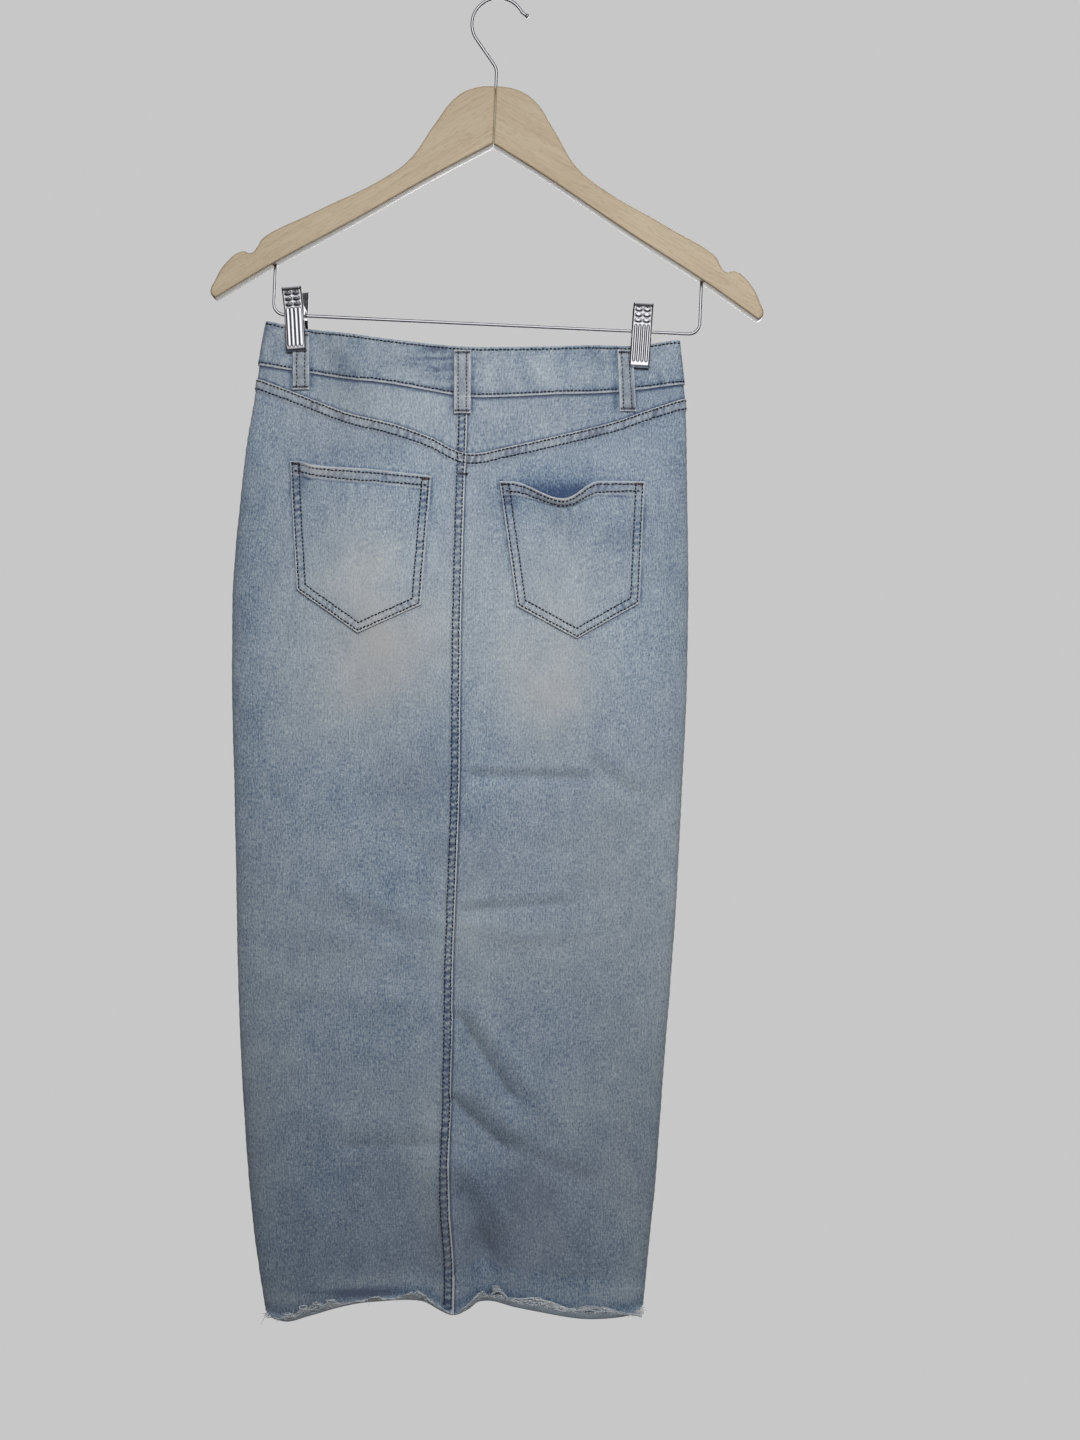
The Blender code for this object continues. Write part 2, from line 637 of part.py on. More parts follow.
def add_pockets():
    """Five-sided patch pockets. The mouth of the right one gapes and sags."""
    shares_across = (0.0, 0.06, 0.12, 0.22, 0.32, 0.42, 0.5, 0.58, 0.68, 0.78, 0.88, 0.94, 1.0)
    shares_down = (0.0, 0.05, 0.10, 0.17, 0.26, 0.37, 0.5, 0.65, 0.82, 0.94, 1.0)
    for pocket in POCKETS:
        middle = (pocket.point[0] - pocket.foot_left[0]) / (pocket.foot_right[0] - pocket.foot_left[0])

        def place(u, v, pocket=pocket, middle=middle):
            left = Vector(pocket.top_left).lerp(Vector(pocket.foot_left), v)
            right = Vector(pocket.top_right).lerp(Vector(pocket.foot_right), v)
            share = u * 2 * middle if u <= 0.5 else middle + (u - 0.5) * 2 * (1 - middle)
            point = left.lerp(right, share)
            peak = 1 - abs(share - middle) / (middle if share < middle else 1 - middle)
            drop = (Vector(pocket.foot_left).lerp(Vector(pocket.foot_right), middle).y - pocket.point[1]) * peak
            point.y -= drop * v
            mouth = smooth_step(*MOUTH_RISE, share) * (1 - smooth_step(*MOUTH_FALL, share))
            fade = 1 - smooth_step(0.0, MOUTH_DEPTH, v)
            point.y -= pocket.dip * mouth * fade
            lift = PANEL_WALL + LAID_ON_GAP + pocket.gape * mouth * fade
            return lifted_point("back", point.x, point.y, lift)

        sheet(pocket.name, shares_across, shares_down, place, lambda u, v: POCKET_WALL, "denim")


def add_belt_loops():
    """Strips sewn down at both ends, which stand off the waistband between them."""
    shares_down = (0.0, 0.06, 0.14, 0.30, 0.46, 0.60, 0.72, 0.80, 0.88, 1.0)
    for loop in LOOPS:
        lines = BACK_SEAM_LINES if loop.face == "back" else FRONT_SEAM_LINES
        middle = across_of(loop.x_top, BAND_HEIGHT)
        top = along(lines, "waist", middle) - LOOP_TOP_INSET
        seam = along(lines, "band_seam", middle)
        bottom = seam - loop.reach_below
        seam_share = (top - seam) / (top - bottom)

        def place(u, v, loop=loop, top=top, bottom=bottom, seam_share=seam_share):
            z = top + (bottom - top) * v
            x = loop.x_top + (loop.x_low - loop.x_top) * v + u * LOOP_WIDTH / 2
            on_band = 1 - smooth_step(seam_share + LOOP_STEP_DOWN[0], seam_share + LOOP_STEP_DOWN[1], v)
            lift = PANEL_WALL + (WAISTBAND_WALL - PANEL_WALL) * on_band + LAID_ON_GAP
            if loop.name == "belt_loop_back_centre":
                lift += (LAPPED_WALL - PANEL_WALL) * (1 - on_band)
            lift += loop.bow * math.sin(math.pi * min(v / seam_share, 1.0)) ** 2
            return lifted_point(loop.face, x, z, lift)

        sides = (-1, -0.5, 0, 0.5, 1)
        if loop.face == "front":
            sides = sides[::-1]
        sheet(loop.name, sides, shares_down, place, lambda u, v: LOOP_WALL, "denim_band")


BUTTON_PROFILE = ((0.0, 3.4), (4.6, 3.2), (6.6, 3.4), (8.0, 2.9), (BUTTON_RADIUS, 1.9), (8.1, 0.9), (6.4, 0.5),
                  (5.0, 0.0), (0.0, 0.0))


def add_button():
    """A shank button on the waistband's lapped end: a turned dome with a rounded rim."""
    across = 0.0
    z = (along(FRONT_SEAM_LINES, "waist", across) + along(FRONT_SEAM_LINES, "band_seam", across)) / 2
    lift = 2 * WAISTBAND_WALL + 2 * LAID_ON_GAP + SEAM_GAP
    base = inside_point("front", across, z) + outward("front", across, z) * lift
    mesh = bpy.data.meshes.new("button")
    bm = bmesh.new()
    points = [bm.verts.new((radius * MM, 0, height * MM)) for radius, height in BUTTON_PROFILE]
    for first, second in zip(points, points[1:]):
        bm.edges.new((first, second))
    bm.to_mesh(mesh)
    bm.free()
    button = add_object("button", mesh, "brass")
    screw = button.modifiers.new("Turned", "SCREW")
    screw.steps = 20
    screw.render_steps = 20
    screw.use_merge_vertices = True
    screw.merge_threshold = 0.0001 * MM
    screw.use_smooth_shade = True
    turn = Vector((0, 0, 1)).rotation_difference(outward("front", across, z))
    button.matrix_world = Matrix.Translation(base * MM) @ turn.to_matrix().to_4x4()


# The hanger

def wood_arm(name, side):
    """One half of the wooden hanger, glued to the other at the middle."""
    curve = bpy.data.curves.new(name, "CURVE")
    curve.dimensions = "2D"
    curve.fill_mode = "BOTH"
    curve.extrude = (WOOD_THICKNESS / 2 - WOOD_EDGE_RADIUS) * MM
    curve.bevel_depth = WOOD_EDGE_RADIUS * MM
    curve.bevel_resolution = 1
    curve.offset = -WOOD_EDGE_RADIUS * MM
    curve.resolution_u = 3
    spline = curve.splines.new("BEZIER")
    spline.use_cyclic_u = True
    spline.bezier_points.add(len(WOOD_OUTLINE) - 1)
    for bezier, point in zip(spline.bezier_points, WOOD_OUTLINE):
        inset = SEAM_GAP / 2 if point.x == 0 else 0.0
        bezier.co = Vector((side * (point.x + inset), point.z, 0)) * MM
        handle = "VECTOR" if point.kind == "corner" else "AUTO"
        bezier.handle_left_type = handle
        bezier.handle_right_type = handle
    flat = add_object(name + "_outline", curve, "wood")
    flat.matrix_world = Matrix.Rotation(HANGER_TILT, 4, "Y") @ Matrix.Rotation(math.pi / 2, 4, "X")
    return replace_by_mesh(flat, name, "wood")


def add_hanger():
    bore_radius = WIRE_DIAMETER / 2 + BORE_CLEARANCE
    stem_bore = rod_cutter("stem_bore", hung(Vector((0, 0, HOOK_STEM_END - BORE_CLEARANCE))),
                           hung(Vector((0, 0, STEM_BORE_TOP))), bore_radius)
    for name, side in (("hanger_arm_left", -1), ("hanger_arm_right", 1)):
        arm = wood_arm(name, side)
        combine(arm, stem_bore, "DIFFERENCE")
        leg = Vector((side * BAR_HALF_WIDTH, 0, BAR_LEG_END + BORE_CLEARANCE))
        mouth = leg - Vector((0, 0, BAR_LEG_BORE_LENGTH))
        leg_bore = rod_cutter(name + "_bore", hung(leg), hung(mouth), bore_radius)
        combine(arm, leg_bore, "DIFFERENCE")


def add_hook():
    """Round wire: stem, bend and a near circle, whose inside top is the part's origin."""
    centre = WIRE_DIAMETER / 2 - HOOK_RADIUS
    circle = arc(0.0, centre, HOOK_RADIUS, HOOK_STEM_ANGLE, HOOK_OPENING_ANGLE, 22)
    start = circle[0]
    lean = math.pi / 2 - (HOOK_STEM_ANGLE - math.pi)
    corner = start.z - abs(start.x) * math.tan(lean)
    bend_turn = math.pi / 2 - lean
    back_off = HOOK_BEND_RADIUS * math.tan(bend_turn / 2)
    bend = arc(-HOOK_BEND_RADIUS, corner - back_off, HOOK_BEND_RADIUS, 0.0, bend_turn, 5)
    tip_angle = HOOK_OPENING_ANGLE - math.pi / 2
    flare = Vector((math.cos(tip_angle) + HOOK_TIP_SLOPE, 0, math.sin(tip_angle))).normalized()
    tip = [circle[-1] + flare * HOOK_TIP_LENGTH * share for share in (0.5, 1.0)]
    points = [Vector((0, 0, HOOK_STEM_END))] + bend + circle + tip
    wire("hook", [hung(point) for point in points], WIRE_DIAMETER, "chrome")


def add_bar():
    """Wire bar under the wood, its legs in holes in the two arms."""
    r = BAR_BEND_RADIUS
    left, right = -BAR_HALF_WIDTH, BAR_HALF_WIDTH
    points = [Vector((left, 0, BAR_LEG_END))]
    points += arc(left + r, BAR_LEFT_HEIGHT + r, r, math.pi, 1.5 * math.pi, 6)
    points.append(Vector((0, 0, bar_height(0))))
    points += arc(right - r, BAR_RIGHT_HEIGHT + r, r, 1.5 * math.pi, 2 * math.pi, 6)
    points.append(Vector((right, 0, BAR_LEG_END)))
    wire("clip_bar", [hung(point) for point in points], WIRE_DIAMETER, "chrome")


def bar_height(x):
    share = (x + BAR_HALF_WIDTH) / (2 * BAR_HALF_WIDTH)
    return BAR_LEFT_HEIGHT + (BAR_RIGHT_HEIGHT - BAR_LEFT_HEIGHT) * share


# The clips: a jaw towards the skirt's back, one towards its front, and the spring between them

JawPoint = namedtuple("JawPoint", "y z")
BACK_JAW = (JawPoint(-12.6, 19.8), JawPoint(-12.4, 18.9), JawPoint(-8.6, 5.0), JawPoint(-7.8, -2.0),
            JawPoint(-7.6, -27.2), JawPoint(-7.0, -28.9), JawPoint(-5.7, -29.5))
FRONT_JAW = (JawPoint(12.8, 22.2), JawPoint(12.6, 21.3), JawPoint(7.6, 6.0), JawPoint(6.0, -2.0),
             JawPoint(4.9, -27.2), JawPoint(4.4, -28.9), JawPoint(3.3, -29.5))
PIVOT_ROW = 3


def clip_frame(clip):
    """Places a clip's own frame, whose origin is its pivot, on the bar."""
    level_x = clip.x * math.cos(HANGER_TILT) - BAR_LEFT_HEIGHT * math.sin(HANGER_TILT)
    pivot = hung(Vector((level_x, 0, bar_height(level_x) - CLIP_DROP_ON_BAR)))
    turn = Matrix.Rotation(clip.lean, 4, "Y") @ Matrix.Rotation(clip.turn, 4, "Z")
    return Matrix.Translation(pivot * MM) @ turn


def ear_outline(name, plate_y, x):
    """The ear that carries a jaw on the bar: a round eye with a hole, joined to the plate by a web."""
    curve = bpy.data.curves.new(name, "CURVE")
    curve.dimensions = "2D"
    curve.fill_mode = "BOTH"
    curve.extrude = CLIP_SHEET / 2 * MM
    away = -1 if plate_y < 0 else 1
    eye = [(-away * CLIP_EAR_RADIUS * math.cos(a), CLIP_EAR_RADIUS * math.sin(a))
           for a in [math.radians(-80 + 20 * i) for i in range(9)]]
    outline = [(plate_y, -CLIP_EAR_REACH)] + eye + [(plate_y, CLIP_EAR_REACH)]
    hole = [(CLIP_EAR_HOLE_RADIUS * math.cos(a), CLIP_EAR_HOLE_RADIUS * math.sin(a))
            for a in [math.radians(30 * i) for i in range(12)]]
    for points in (outline, hole):
        spline = curve.splines.new("POLY")
        spline.use_cyclic_u = True
        spline.points.add(len(points) - 1)
        for point, (y, z) in zip(spline.points, points):
            point.co = (y * MM, z * MM, 0, 1)
    made = add_object(name + "_outline", curve, "chrome")
    upright = Matrix(((0, 0, 1, 0), (1, 0, 0, 0), (0, 1, 0, 0), (0, 0, 0, 1)))
    return made, Matrix.Translation((x * MM, 0, 0)) @ upright


def add_clip(clip):
    frame = clip_frame(clip)
    for kind, profile, ear_x in (("back_jaw", BACK_JAW, CLIP_WIDTH / 2 - BACK_EAR_INSET),
                                 ("front_jaw", FRONT_JAW, CLIP_WIDTH / 2 - FRONT_EAR_INSET)):
        name = "clip_" + clip.name + "_" + kind
        outside = 1 if kind == "back_jaw" else -1
        columns = (-outside * CLIP_WIDTH / 2, outside * CLIP_WIDTH / 2)
        plate = sheet(name + "_plate", columns, profile, lambda x, at: Vector((x, at.y, at.z)),
                      lambda x, at: CLIP_SHEET, "chrome")
        plate.matrix_world = frame
        jaw = replace_by_mesh(plate, name, "chrome")
        beside_pivot = profile[PIVOT_ROW].y
        plate_y = beside_pivot + math.copysign(CLIP_SHEET / 2, beside_pivot)
        for side in (-1, 1):
            ear, place = ear_outline(name + "_ear" + ("_a" if side < 0 else "_b"), plate_y, side * ear_x)
            ear.matrix_world = frame @ place
            solid = replace_by_mesh(ear, ear.name.replace("_outline", ""), "chrome", cutter=True)
            combine(jaw, solid, "UNION")
    mesh = bpy.data.meshes.new("clip_" + clip.name + "_spring")
    bm = bmesh.new()
    half = SPRING_LENGTH / 2
    corners = ((half, SPRING_BORE_RADIUS), (half, SPRING_RADIUS), (-half, SPRING_RADIUS),
               (-half, SPRING_BORE_RADIUS))
    loop = [bm.verts.new((x * MM, 0, z * MM)) for x, z in corners]
    for i, vertex in enumerate(loop):
        bm.edges.new((vertex, loop[(i + 1) % len(loop)]))
    bm.to_mesh(mesh)
    bm.free()
    spring = add_object("clip_" + clip.name + "_spring", mesh, "chrome")
    screw = spring.modifiers.new("Turned", "SCREW")
    screw.axis = "X"
    screw.steps = 16
    screw.render_steps = 16
    screw.use_merge_vertices = True
    screw.merge_threshold = 0.0001 * MM
    spring.matrix_world = frame


def clear_scene():
    for made in list(bpy.data.objects):
        bpy.data.objects.remove(made)
    for name in ("Denim skirt", "Cutters"):
        collection = bpy.data.collections.new(name)
        bpy.context.scene.collection.children.link(collection)


def main():
    clear_scene()
    add_back_panels()
    add_front_panels()
    add_yokes()
    add_waistband()
    add_pockets()
    add_belt_loops()
    add_button()
    add_hanger()
    add_hook()
    add_bar()
    for clip in CLIPS:
        add_clip(clip)


main()
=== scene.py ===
"""Light-wash denim pencil skirt clipped to a wooden hanger and seen from its back: the looks around the part.

Lengths are in millimetres and become metres where a mesh is made. X points to the right as seen from the
skirt's back, Y from its back to its front and Z up. The origin is the inside top of the hook's bend.
"""
import math
from collections import namedtuple

import bpy
import numpy as np
from mathutils import Matrix, Vector


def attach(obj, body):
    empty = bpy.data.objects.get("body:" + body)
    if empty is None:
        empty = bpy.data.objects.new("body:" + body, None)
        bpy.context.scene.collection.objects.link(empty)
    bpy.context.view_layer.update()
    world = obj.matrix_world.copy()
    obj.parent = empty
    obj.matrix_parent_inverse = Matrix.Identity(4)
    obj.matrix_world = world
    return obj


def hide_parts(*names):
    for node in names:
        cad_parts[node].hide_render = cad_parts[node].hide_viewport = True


MM = 0.001
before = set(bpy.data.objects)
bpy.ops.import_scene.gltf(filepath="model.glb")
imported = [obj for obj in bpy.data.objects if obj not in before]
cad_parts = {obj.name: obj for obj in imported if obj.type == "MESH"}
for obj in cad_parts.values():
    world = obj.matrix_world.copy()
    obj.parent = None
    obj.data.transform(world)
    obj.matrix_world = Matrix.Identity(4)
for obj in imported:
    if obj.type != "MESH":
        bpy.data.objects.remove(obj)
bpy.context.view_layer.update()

# Cloth and seams
PANEL_WALL = 1.2
LAPPED_WALL = 2.0
WAISTBAND_WALL = 2.3
POCKET_WALL = 1.3
LOOP_WALL = 1.8
SEAM_GAP = 0.3
LAID_ON_GAP = 0.5
CENTRE_LAP_WIDTH = 7.8
YOKE_LAP_WIDTH = 9.2
YOKE_SLOPE_COSINE = 0.94
LAP_STEP = 0.8
BAND_HEIGHT = -300.0
YOKE_HEIGHT = -330.0
HEM_HEIGHT = -1045.0
CURL_RADIUS = 3.4
HEM_DROP = 0.8
FOLD_EDGE_SHARE = 4.0
PANEL_TYPICAL_WIDTH = 172.0

# Top stitching: thread, and how far the rows lie from the folded edge beside them
STITCH_PITCH = 3.1
STITCH_LENGTH = 2.0
THREAD_RADIUS = 0.60
LOOP_THREAD_RADIUS = 0.42
BARTACK_WIDTH = 1.9
LOOP_BARTACK_INSET = 2.2
POCKET_BARTACK_INSET = 4.6
POCKET_BARTACK_DROP = 2.6
POCKET_BARTACK_LENGTH = 6.4
SEAM_BARTACK_PLACE = (-28.4, -388.2)
SEAM_BARTACK_LENGTH = 8.0
CENTRE_ROWS = (1.7, 6.7)
YOKE_ROWS = (1.8, 8.2)
BAND_TOP_ROW = 2.5
BAND_LOW_ROW = 2.5
POCKET_ROWS = (2.0, 7.3)
POCKET_HEM_ROWS = (3.0, 9.0)
POCKET_HEM = 11.2
LOOP_ROW = 3.3
FLY_ROWS = (31.0, 37.0)
FRONT_SEAM_ROW = 2.4

# How a felled seam looks: where its two rows of stitching lie, how regular its ridges are, from 0 for uneven
# patches to 1 for even rungs, the dye kept in its hollows, and the white rubbed on its edge
SeamLook = namedtuple("SeamLook", "stitching ladder kept fold")
CENTRE_SEAM = SeamLook(CENTRE_ROWS, 1.0, 0.55, 0.95)
CENTRE_SEAM_ON_YOKE = SeamLook(CENTRE_ROWS, 0.8, 0.55, 0.8)
YOKE_SEAM = SeamLook(YOKE_ROWS, 0.25, 0.55, 0.60)
POCKET_EDGE = SeamLook(POCKET_ROWS, 0.3, 0.24, 0.5)
POCKET_MOUTH = SeamLook(POCKET_HEM_ROWS, 0.25, 0.3, 0.66)

# Hanger
HANGER_TILT = math.radians(2.3)
WOOD_THICKNESS = 12.0
WOOD_EDGE_RADIUS = 1.6
WIRE_DIAMETER = 2.5
HOOK_RADIUS = 21.4
HOOK_OPENING_ANGLE = math.radians(30)
HOOK_STEM_ANGLE = math.radians(216.9)
HOOK_STEM_END = -97.0
HOOK_BEND_RADIUS = 12.0
HOOK_TIP_LENGTH = 6.5
HOOK_TIP_SLOPE = 0.75
BAR_HALF_WIDTH = 172.5
BAR_BEND_RADIUS = 9.0
BAR_LEFT_HEIGHT = -261.9
BAR_RIGHT_HEIGHT = -264.3
BAR_LEG_END = -211.0
CLIP_WIDTH = 16.0
CLIP_SHEET = 0.9
CLIP_DROP_ON_BAR = 0.3
CLIP_EAR_RADIUS = 4.6
CLIP_EAR_HOLE_RADIUS = 2.7
CLIP_EAR_REACH = 6.6
BACK_EAR_INSET = 0.6
FRONT_EAR_INSET = 1.9
EAR_EDGE_RADIUS = 0.15
SPRING_LENGTH = 8.4
SPRING_RADIUS = 3.9
SPRING_WIRE = 1.0

# Front closing
BUTTONHOLE_REACH = 13.0
BUTTONHOLE_STITCHES = 90
FLY_WIDTH = 38.0
FLY_LENGTH = 146.0
FLY_BEND = 34.0
WAIST_OVERLAP = 34.0
OVERLAP_LIFT_HELD_TO = 0.13
OVERLAP_LIFT_GONE_BY = 0.45


def rows(kind, *values):
    """A table's rows, with their columns named."""
    return tuple(kind(*row) for row in values)


# Level sections of the skirt: its outline's left and right, its centre seam, and the swell of its two faces
Section = namedtuple("Section", "height left right seam back_depth front_depth")
SECTIONS = rows(
    Section,
    (-1066, -187.6, 115, -35.4, 27, 27), (-1052, -190.5, 116.9, -35.2, 27, 27),
    (-1010, -196.8, 121.1, -34.8, 27.5, 26.5), (-962, -202, 126, -38.1, 27.5, 26),
    (-915, -205.7, 129.6, -38.1, 27, 25.5), (-844, -209.8, 134.9, -36.5, 26.5, 25),
    (-773, -212.1, 140.5, -35.5, 26, 24.5), (-701, -213.4, 145.1, -32.6, 26, 24),
    (-631, -214.8, 148.5, -30.4, 27, 23.5), (-567, -216.4, 151.7, -29.8, 28.5, 22.5),
    (-518, -216.4, 152.8, -29.3, 29, 21.5), (-470, -215.6, 153.3, -28.4, 28, 20),
    (-405, -209.9, 152.5, -26.8, 23.5, 18), (-356, -204.3, 151.7, -25.2, 18.5, 15.5),
    (-324, -198.6, 150.5, -24.4, 15.5, 13.5), (-280, -192.1, 145.8, -23.5, 12, 11),
    (-255, -187.2, 144.6, -23, 10.5, 10))

# Heights of the cross seams. Across runs from -1 at the left edge over 0 at the centre seam to 1 at the right
SeamLine = namedtuple("SeamLine", "across waist band_seam yoke_seam")
SEAM_LINES = {
    "back": rows(
        SeamLine,
        (-1, -260.7, -297, -307), (-0.84, -265.8, -301.2, -317), (-0.72, -268.9, -304.3, -325),
        (-0.54, -274.2, -310.6, -337.1), (-0.34, -279, -315.6, -346.7), (-0.17, -282.5, -321.2, -357.4),
        (0, -284.8, -326, -371), (0.2, -284.9, -325.6, -365.3), (0.5, -283.4, -322.3, -351.9),
        (0.68, -281.2, -319.2, -342.8), (0.82, -280, -316.4, -333.6), (1, -276, -312.3, -323.1)),
    "front": rows(
        SeamLine,
        (-1, -260.7, -297, -297), (-0.78, -267.2, -303, -303), (-0.4, -280, -316.6, -316.6),
        (0, -288.4, -325, -325), (0.4, -288, -324.6, -324.6), (0.78, -280.6, -317.4, -317.4),
        (1, -276, -312.3, -312.3)),
}

# Raw hem: its lowest height, how far the cut edge curls up, in degrees, and how far it runs on upwards
Hem = namedtuple("Hem", "across lowest curl run_on")
HEMS = {
    "back": rows(
        Hem,
        (-1, -1058, 25, 0.3), (-0.95, -1060, 90, 0.3), (-0.86, -1060.9, 150, 0.8),
        (-0.74, -1054.1, 150, 1), (-0.58, -1046.1, 140, 1), (-0.42, -1041.3, 125, 1.2),
        (-0.16, -1040.5, 135, 2.6), (-0.05, -1045.7, 145, 1.8), (0, -1048.1, 140, 1),
        (0.06, -1045, 140, 1.8), (0.12, -1040.4, 145, 2.5), (0.32, -1045.3, 160, 3.4),
        (0.64, -1055, 165, 3.6), (0.82, -1057.3, 160, 3), (0.94, -1057, 95, 0.6), (1, -1053.6, 25, 0.3)),
    "front": rows(
        Hem,
        (-1, -1058, 25, 0.3), (-0.9, -1056, 90, 0.5), (-0.65, -1048, 150, 2), (-0.3, -1042.6, 150, 2.6),
        (0, -1045.4, 135, 1.6), (0.35, -1041.6, 155, 2.6), (0.7, -1047, 150, 2), (0.9, -1053, 90, 0.5),
        (1, -1053.6, 25, 0.3)),
}

# Soft folds: both ends, how far each fades out to the sides, and its height, less than 0 in a trough
Fold = namedtuple("Fold", "x_start z_start x_end z_end spread height")
FOLDS = {
    "back": rows(
        Fold,
        (-36.5, -940, -35.5, -1060, 13, 6), (-12, -1000, 2, -1062, 14, -4.5),
        (-26, -838, 4, -880, 9, -2.4), (-14, -872, 14, -902, 11, 1.4), (-31, -896, -6, -928, 9, -2.8),
        (-16, -930, 12, -966, 12, 1.8), (-29, -960, -14, -1006, 9, -3.4), (-62, -965, -70, -1050, 20, -3),
        (-140, -985, -150, -1056, 24, 2.4), (66, -990, 72, -1056, 30, 2.2), (-18, -626, 78, -632, 9, -1),
        (-2, -726, 84, -716, 10, -0.9), (-118, -530, -96, -640, 26, -1.6), (64, -534, 52, -640, 26, -1.6)),
    "front": rows(
        Fold,
        (-36, -960, -36, -1050, 16, 3.6), (-92, -900, -104, -1050, 26, -3.2),
        (48, -910, 40, -1050, 26, -3.2), (-70, -360, -98, -520, 24, -1.6), (28, -370, 52, -530, 24, -1.6),
        (-140, -640, -60, -652, 11, -1)),
}

# Clips: where each sits on the bar, how it leans and turns, how dark its bosses and bottom lip are painted
# for the dark room they mirror, and how far beside each rib its grooves lie
Clip = namedtuple("Clip", "name x lean turn tarnish groove")
CLIPS = (
    Clip("left", -164.4, math.radians(-2.9), math.radians(-6.0), 0.8, 1.65),
    Clip("right", 115.2, math.radians(3.8), math.radians(-2.0), 0.0, 0.95),
)
PINCH_HALF_WIDTH = 9.0
PINCH_SPREAD_AT_TOP = 38.0
PINCH_SPREAD_GROWTH = 0.55
PINCH_FULL_HEIGHT = -286.0
PINCH_END_HEIGHT = -405.0

# Back pockets: corners of the opening, the sides' feet and the point, how far the mouth gapes and dips, and
# the shares of its width over which it falls to the dip and rises again
Pocket = namedtuple("Pocket", "name top_left top_right foot_left point foot_right gape dip fall rise")
POCKETS = (
    Pocket("pocket_left", (-166.8, -376.1), (-52.9, -389.9), (-159.8, -479.9), (-111.1, -514.3),
           (-60.8, -492.4), 1.6, 2.4, (0.07, 0.17), (0.20, 0.62)),
    Pocket("pocket_right", (0.4, -394.2), (116.1, -392.8), (14.4, -493.5), (61.6, -518.8),
           (111.4, -490.5), 9.5, 16.2, (0.07, 0.43), (0.43, 0.69)),
)
MOUTH_DEPTH = 0.42
MOUTH_LIP = 0.13
MOUTH_LIP_SHARE = 0.3

# Belt loops: face, middle of the upper and of the lower end, reach below the waistband, bow away from it
Loop = namedtuple("Loop", "name face x_top x_low reach_below bow")
LOOP_WIDTH = 13.7
LOOP_TOP_INSET = 3.6
LOOP_STEP_DOWN = (0.02, 0.16)
# How dark the line beside each belt loop is: painted shadow, with dye the loop kept from the wash
LOOP_SHADE = 0.42
LOOPS = (
    Loop("belt_loop_back_left", "back", -160.0, -160.0, 14.8, 0.2),
    Loop("belt_loop_back_centre", "back", -29.0, -29.0, 14.2, 1.4),
    Loop("belt_loop_back_right", "back", 100.9, 103.6, 17.0, 0.2),
    Loop("belt_loop_front_left", "front", -100.0, -101.0, 15.6, 1.4),
    Loop("belt_loop_front_right", "front", 50.0, 51.0, 15.6, 1.4),
)

# Finer creases than the folds, which hanging and folding left in the cloth
CREASES = {
    "back": rows(
        Fold,
        (-22, -619.5, 70, -620.5, 4.5, 1), (-20, -628, 74, -629, 4.5, -1.1),
        (74, -618, 108, -642, 6, -1.5), (80, -606, 120, -634, 8, 1), (-24, -734, 56, -729, 5, -1.3),
        (-24, -725, 54, -719, 6, 1.1), (-22, -746, 20, -752, 8, 1.2), (20, -752, 70, -750, 8, 1.1),
        (-128, -714, -47, -744, 9, 1.6), (-150, -736, -80, -752, 8, -1.2),
        (-112, -650, -44, -702, 11, -1.3), (-176, -790, -60, -806, 12, 1.2),
        (-122, -921, -47, -919, 5.5, -1.4), (-150, -900, -60, -903, 9, 1), (-31, -819, 9, -881, 5, -2.8),
        (-18, -813, 24, -872, 7, 1.9), (9, -881, 40, -912, 8, -1.2), (-36, -884, 2, -920, 5.5, -3),
        (-22, -876, 14, -908, 7, 1.6), (2, -918, 66, -949, 8.5, -2.5), (-30, -928, 4, -976, 6.5, 1.9),
        (-34, -946, -8, -1002, 9, -2.3), (60, -780, 100, -812, 12, 1.2), (40, -690, 100, -676, 12, -1)),
    "front": rows(
        Fold,
        (-138, -636, -50, -640, 6, -0.8), (-20, -700, 70, -694, 6, -0.9), (-34, -860, -78, -920, 6, -1.8),
        (-34, -900, 10, -956, 6, -1.8), (-30, -560, 30, -552, 6, -0.7)),
}

# How dark the cloth is at each height, from 0 to 1: darker towards the hem
Level = namedtuple("Level", "height dye")
TONE_BY_HEIGHT = rows(
    Level,
    (-1066, 0.65), (-1000, 0.69), (-940, 0.63), (-881, 0.54), (-818, 0.51), (-756, 0.52), (-693, 0.51),
    (-630, 0.51), (-567, 0.44), (-504, 0.42), (-426, 0.45), (-355, 0.5), (-300, 0.5), (-255, 0.48))

# How the dye is mottled: the patches' size in mm, how far they are drawn out upright, their seed and strength
Mottle = namedtuple("Mottle", "size upright seed dye")
MOTTLES = rows(Mottle, (46, 1.0, 11, 0.028), (90, 1.0, 12, 0.025), (17, 1.0, 13, 0.028), (8, 0.6, 16, 0.035))

# A paler, bluer band above the hem: its top edge, highest beside the seam, and where it fades out on the left
HEM_BAND_TOP = -1009.0
HEM_BAND_FALL = 0.17
HEM_BAND_MIDDLE = -20.0
HEM_BAND_LEFT = (-92.0, -66.0)
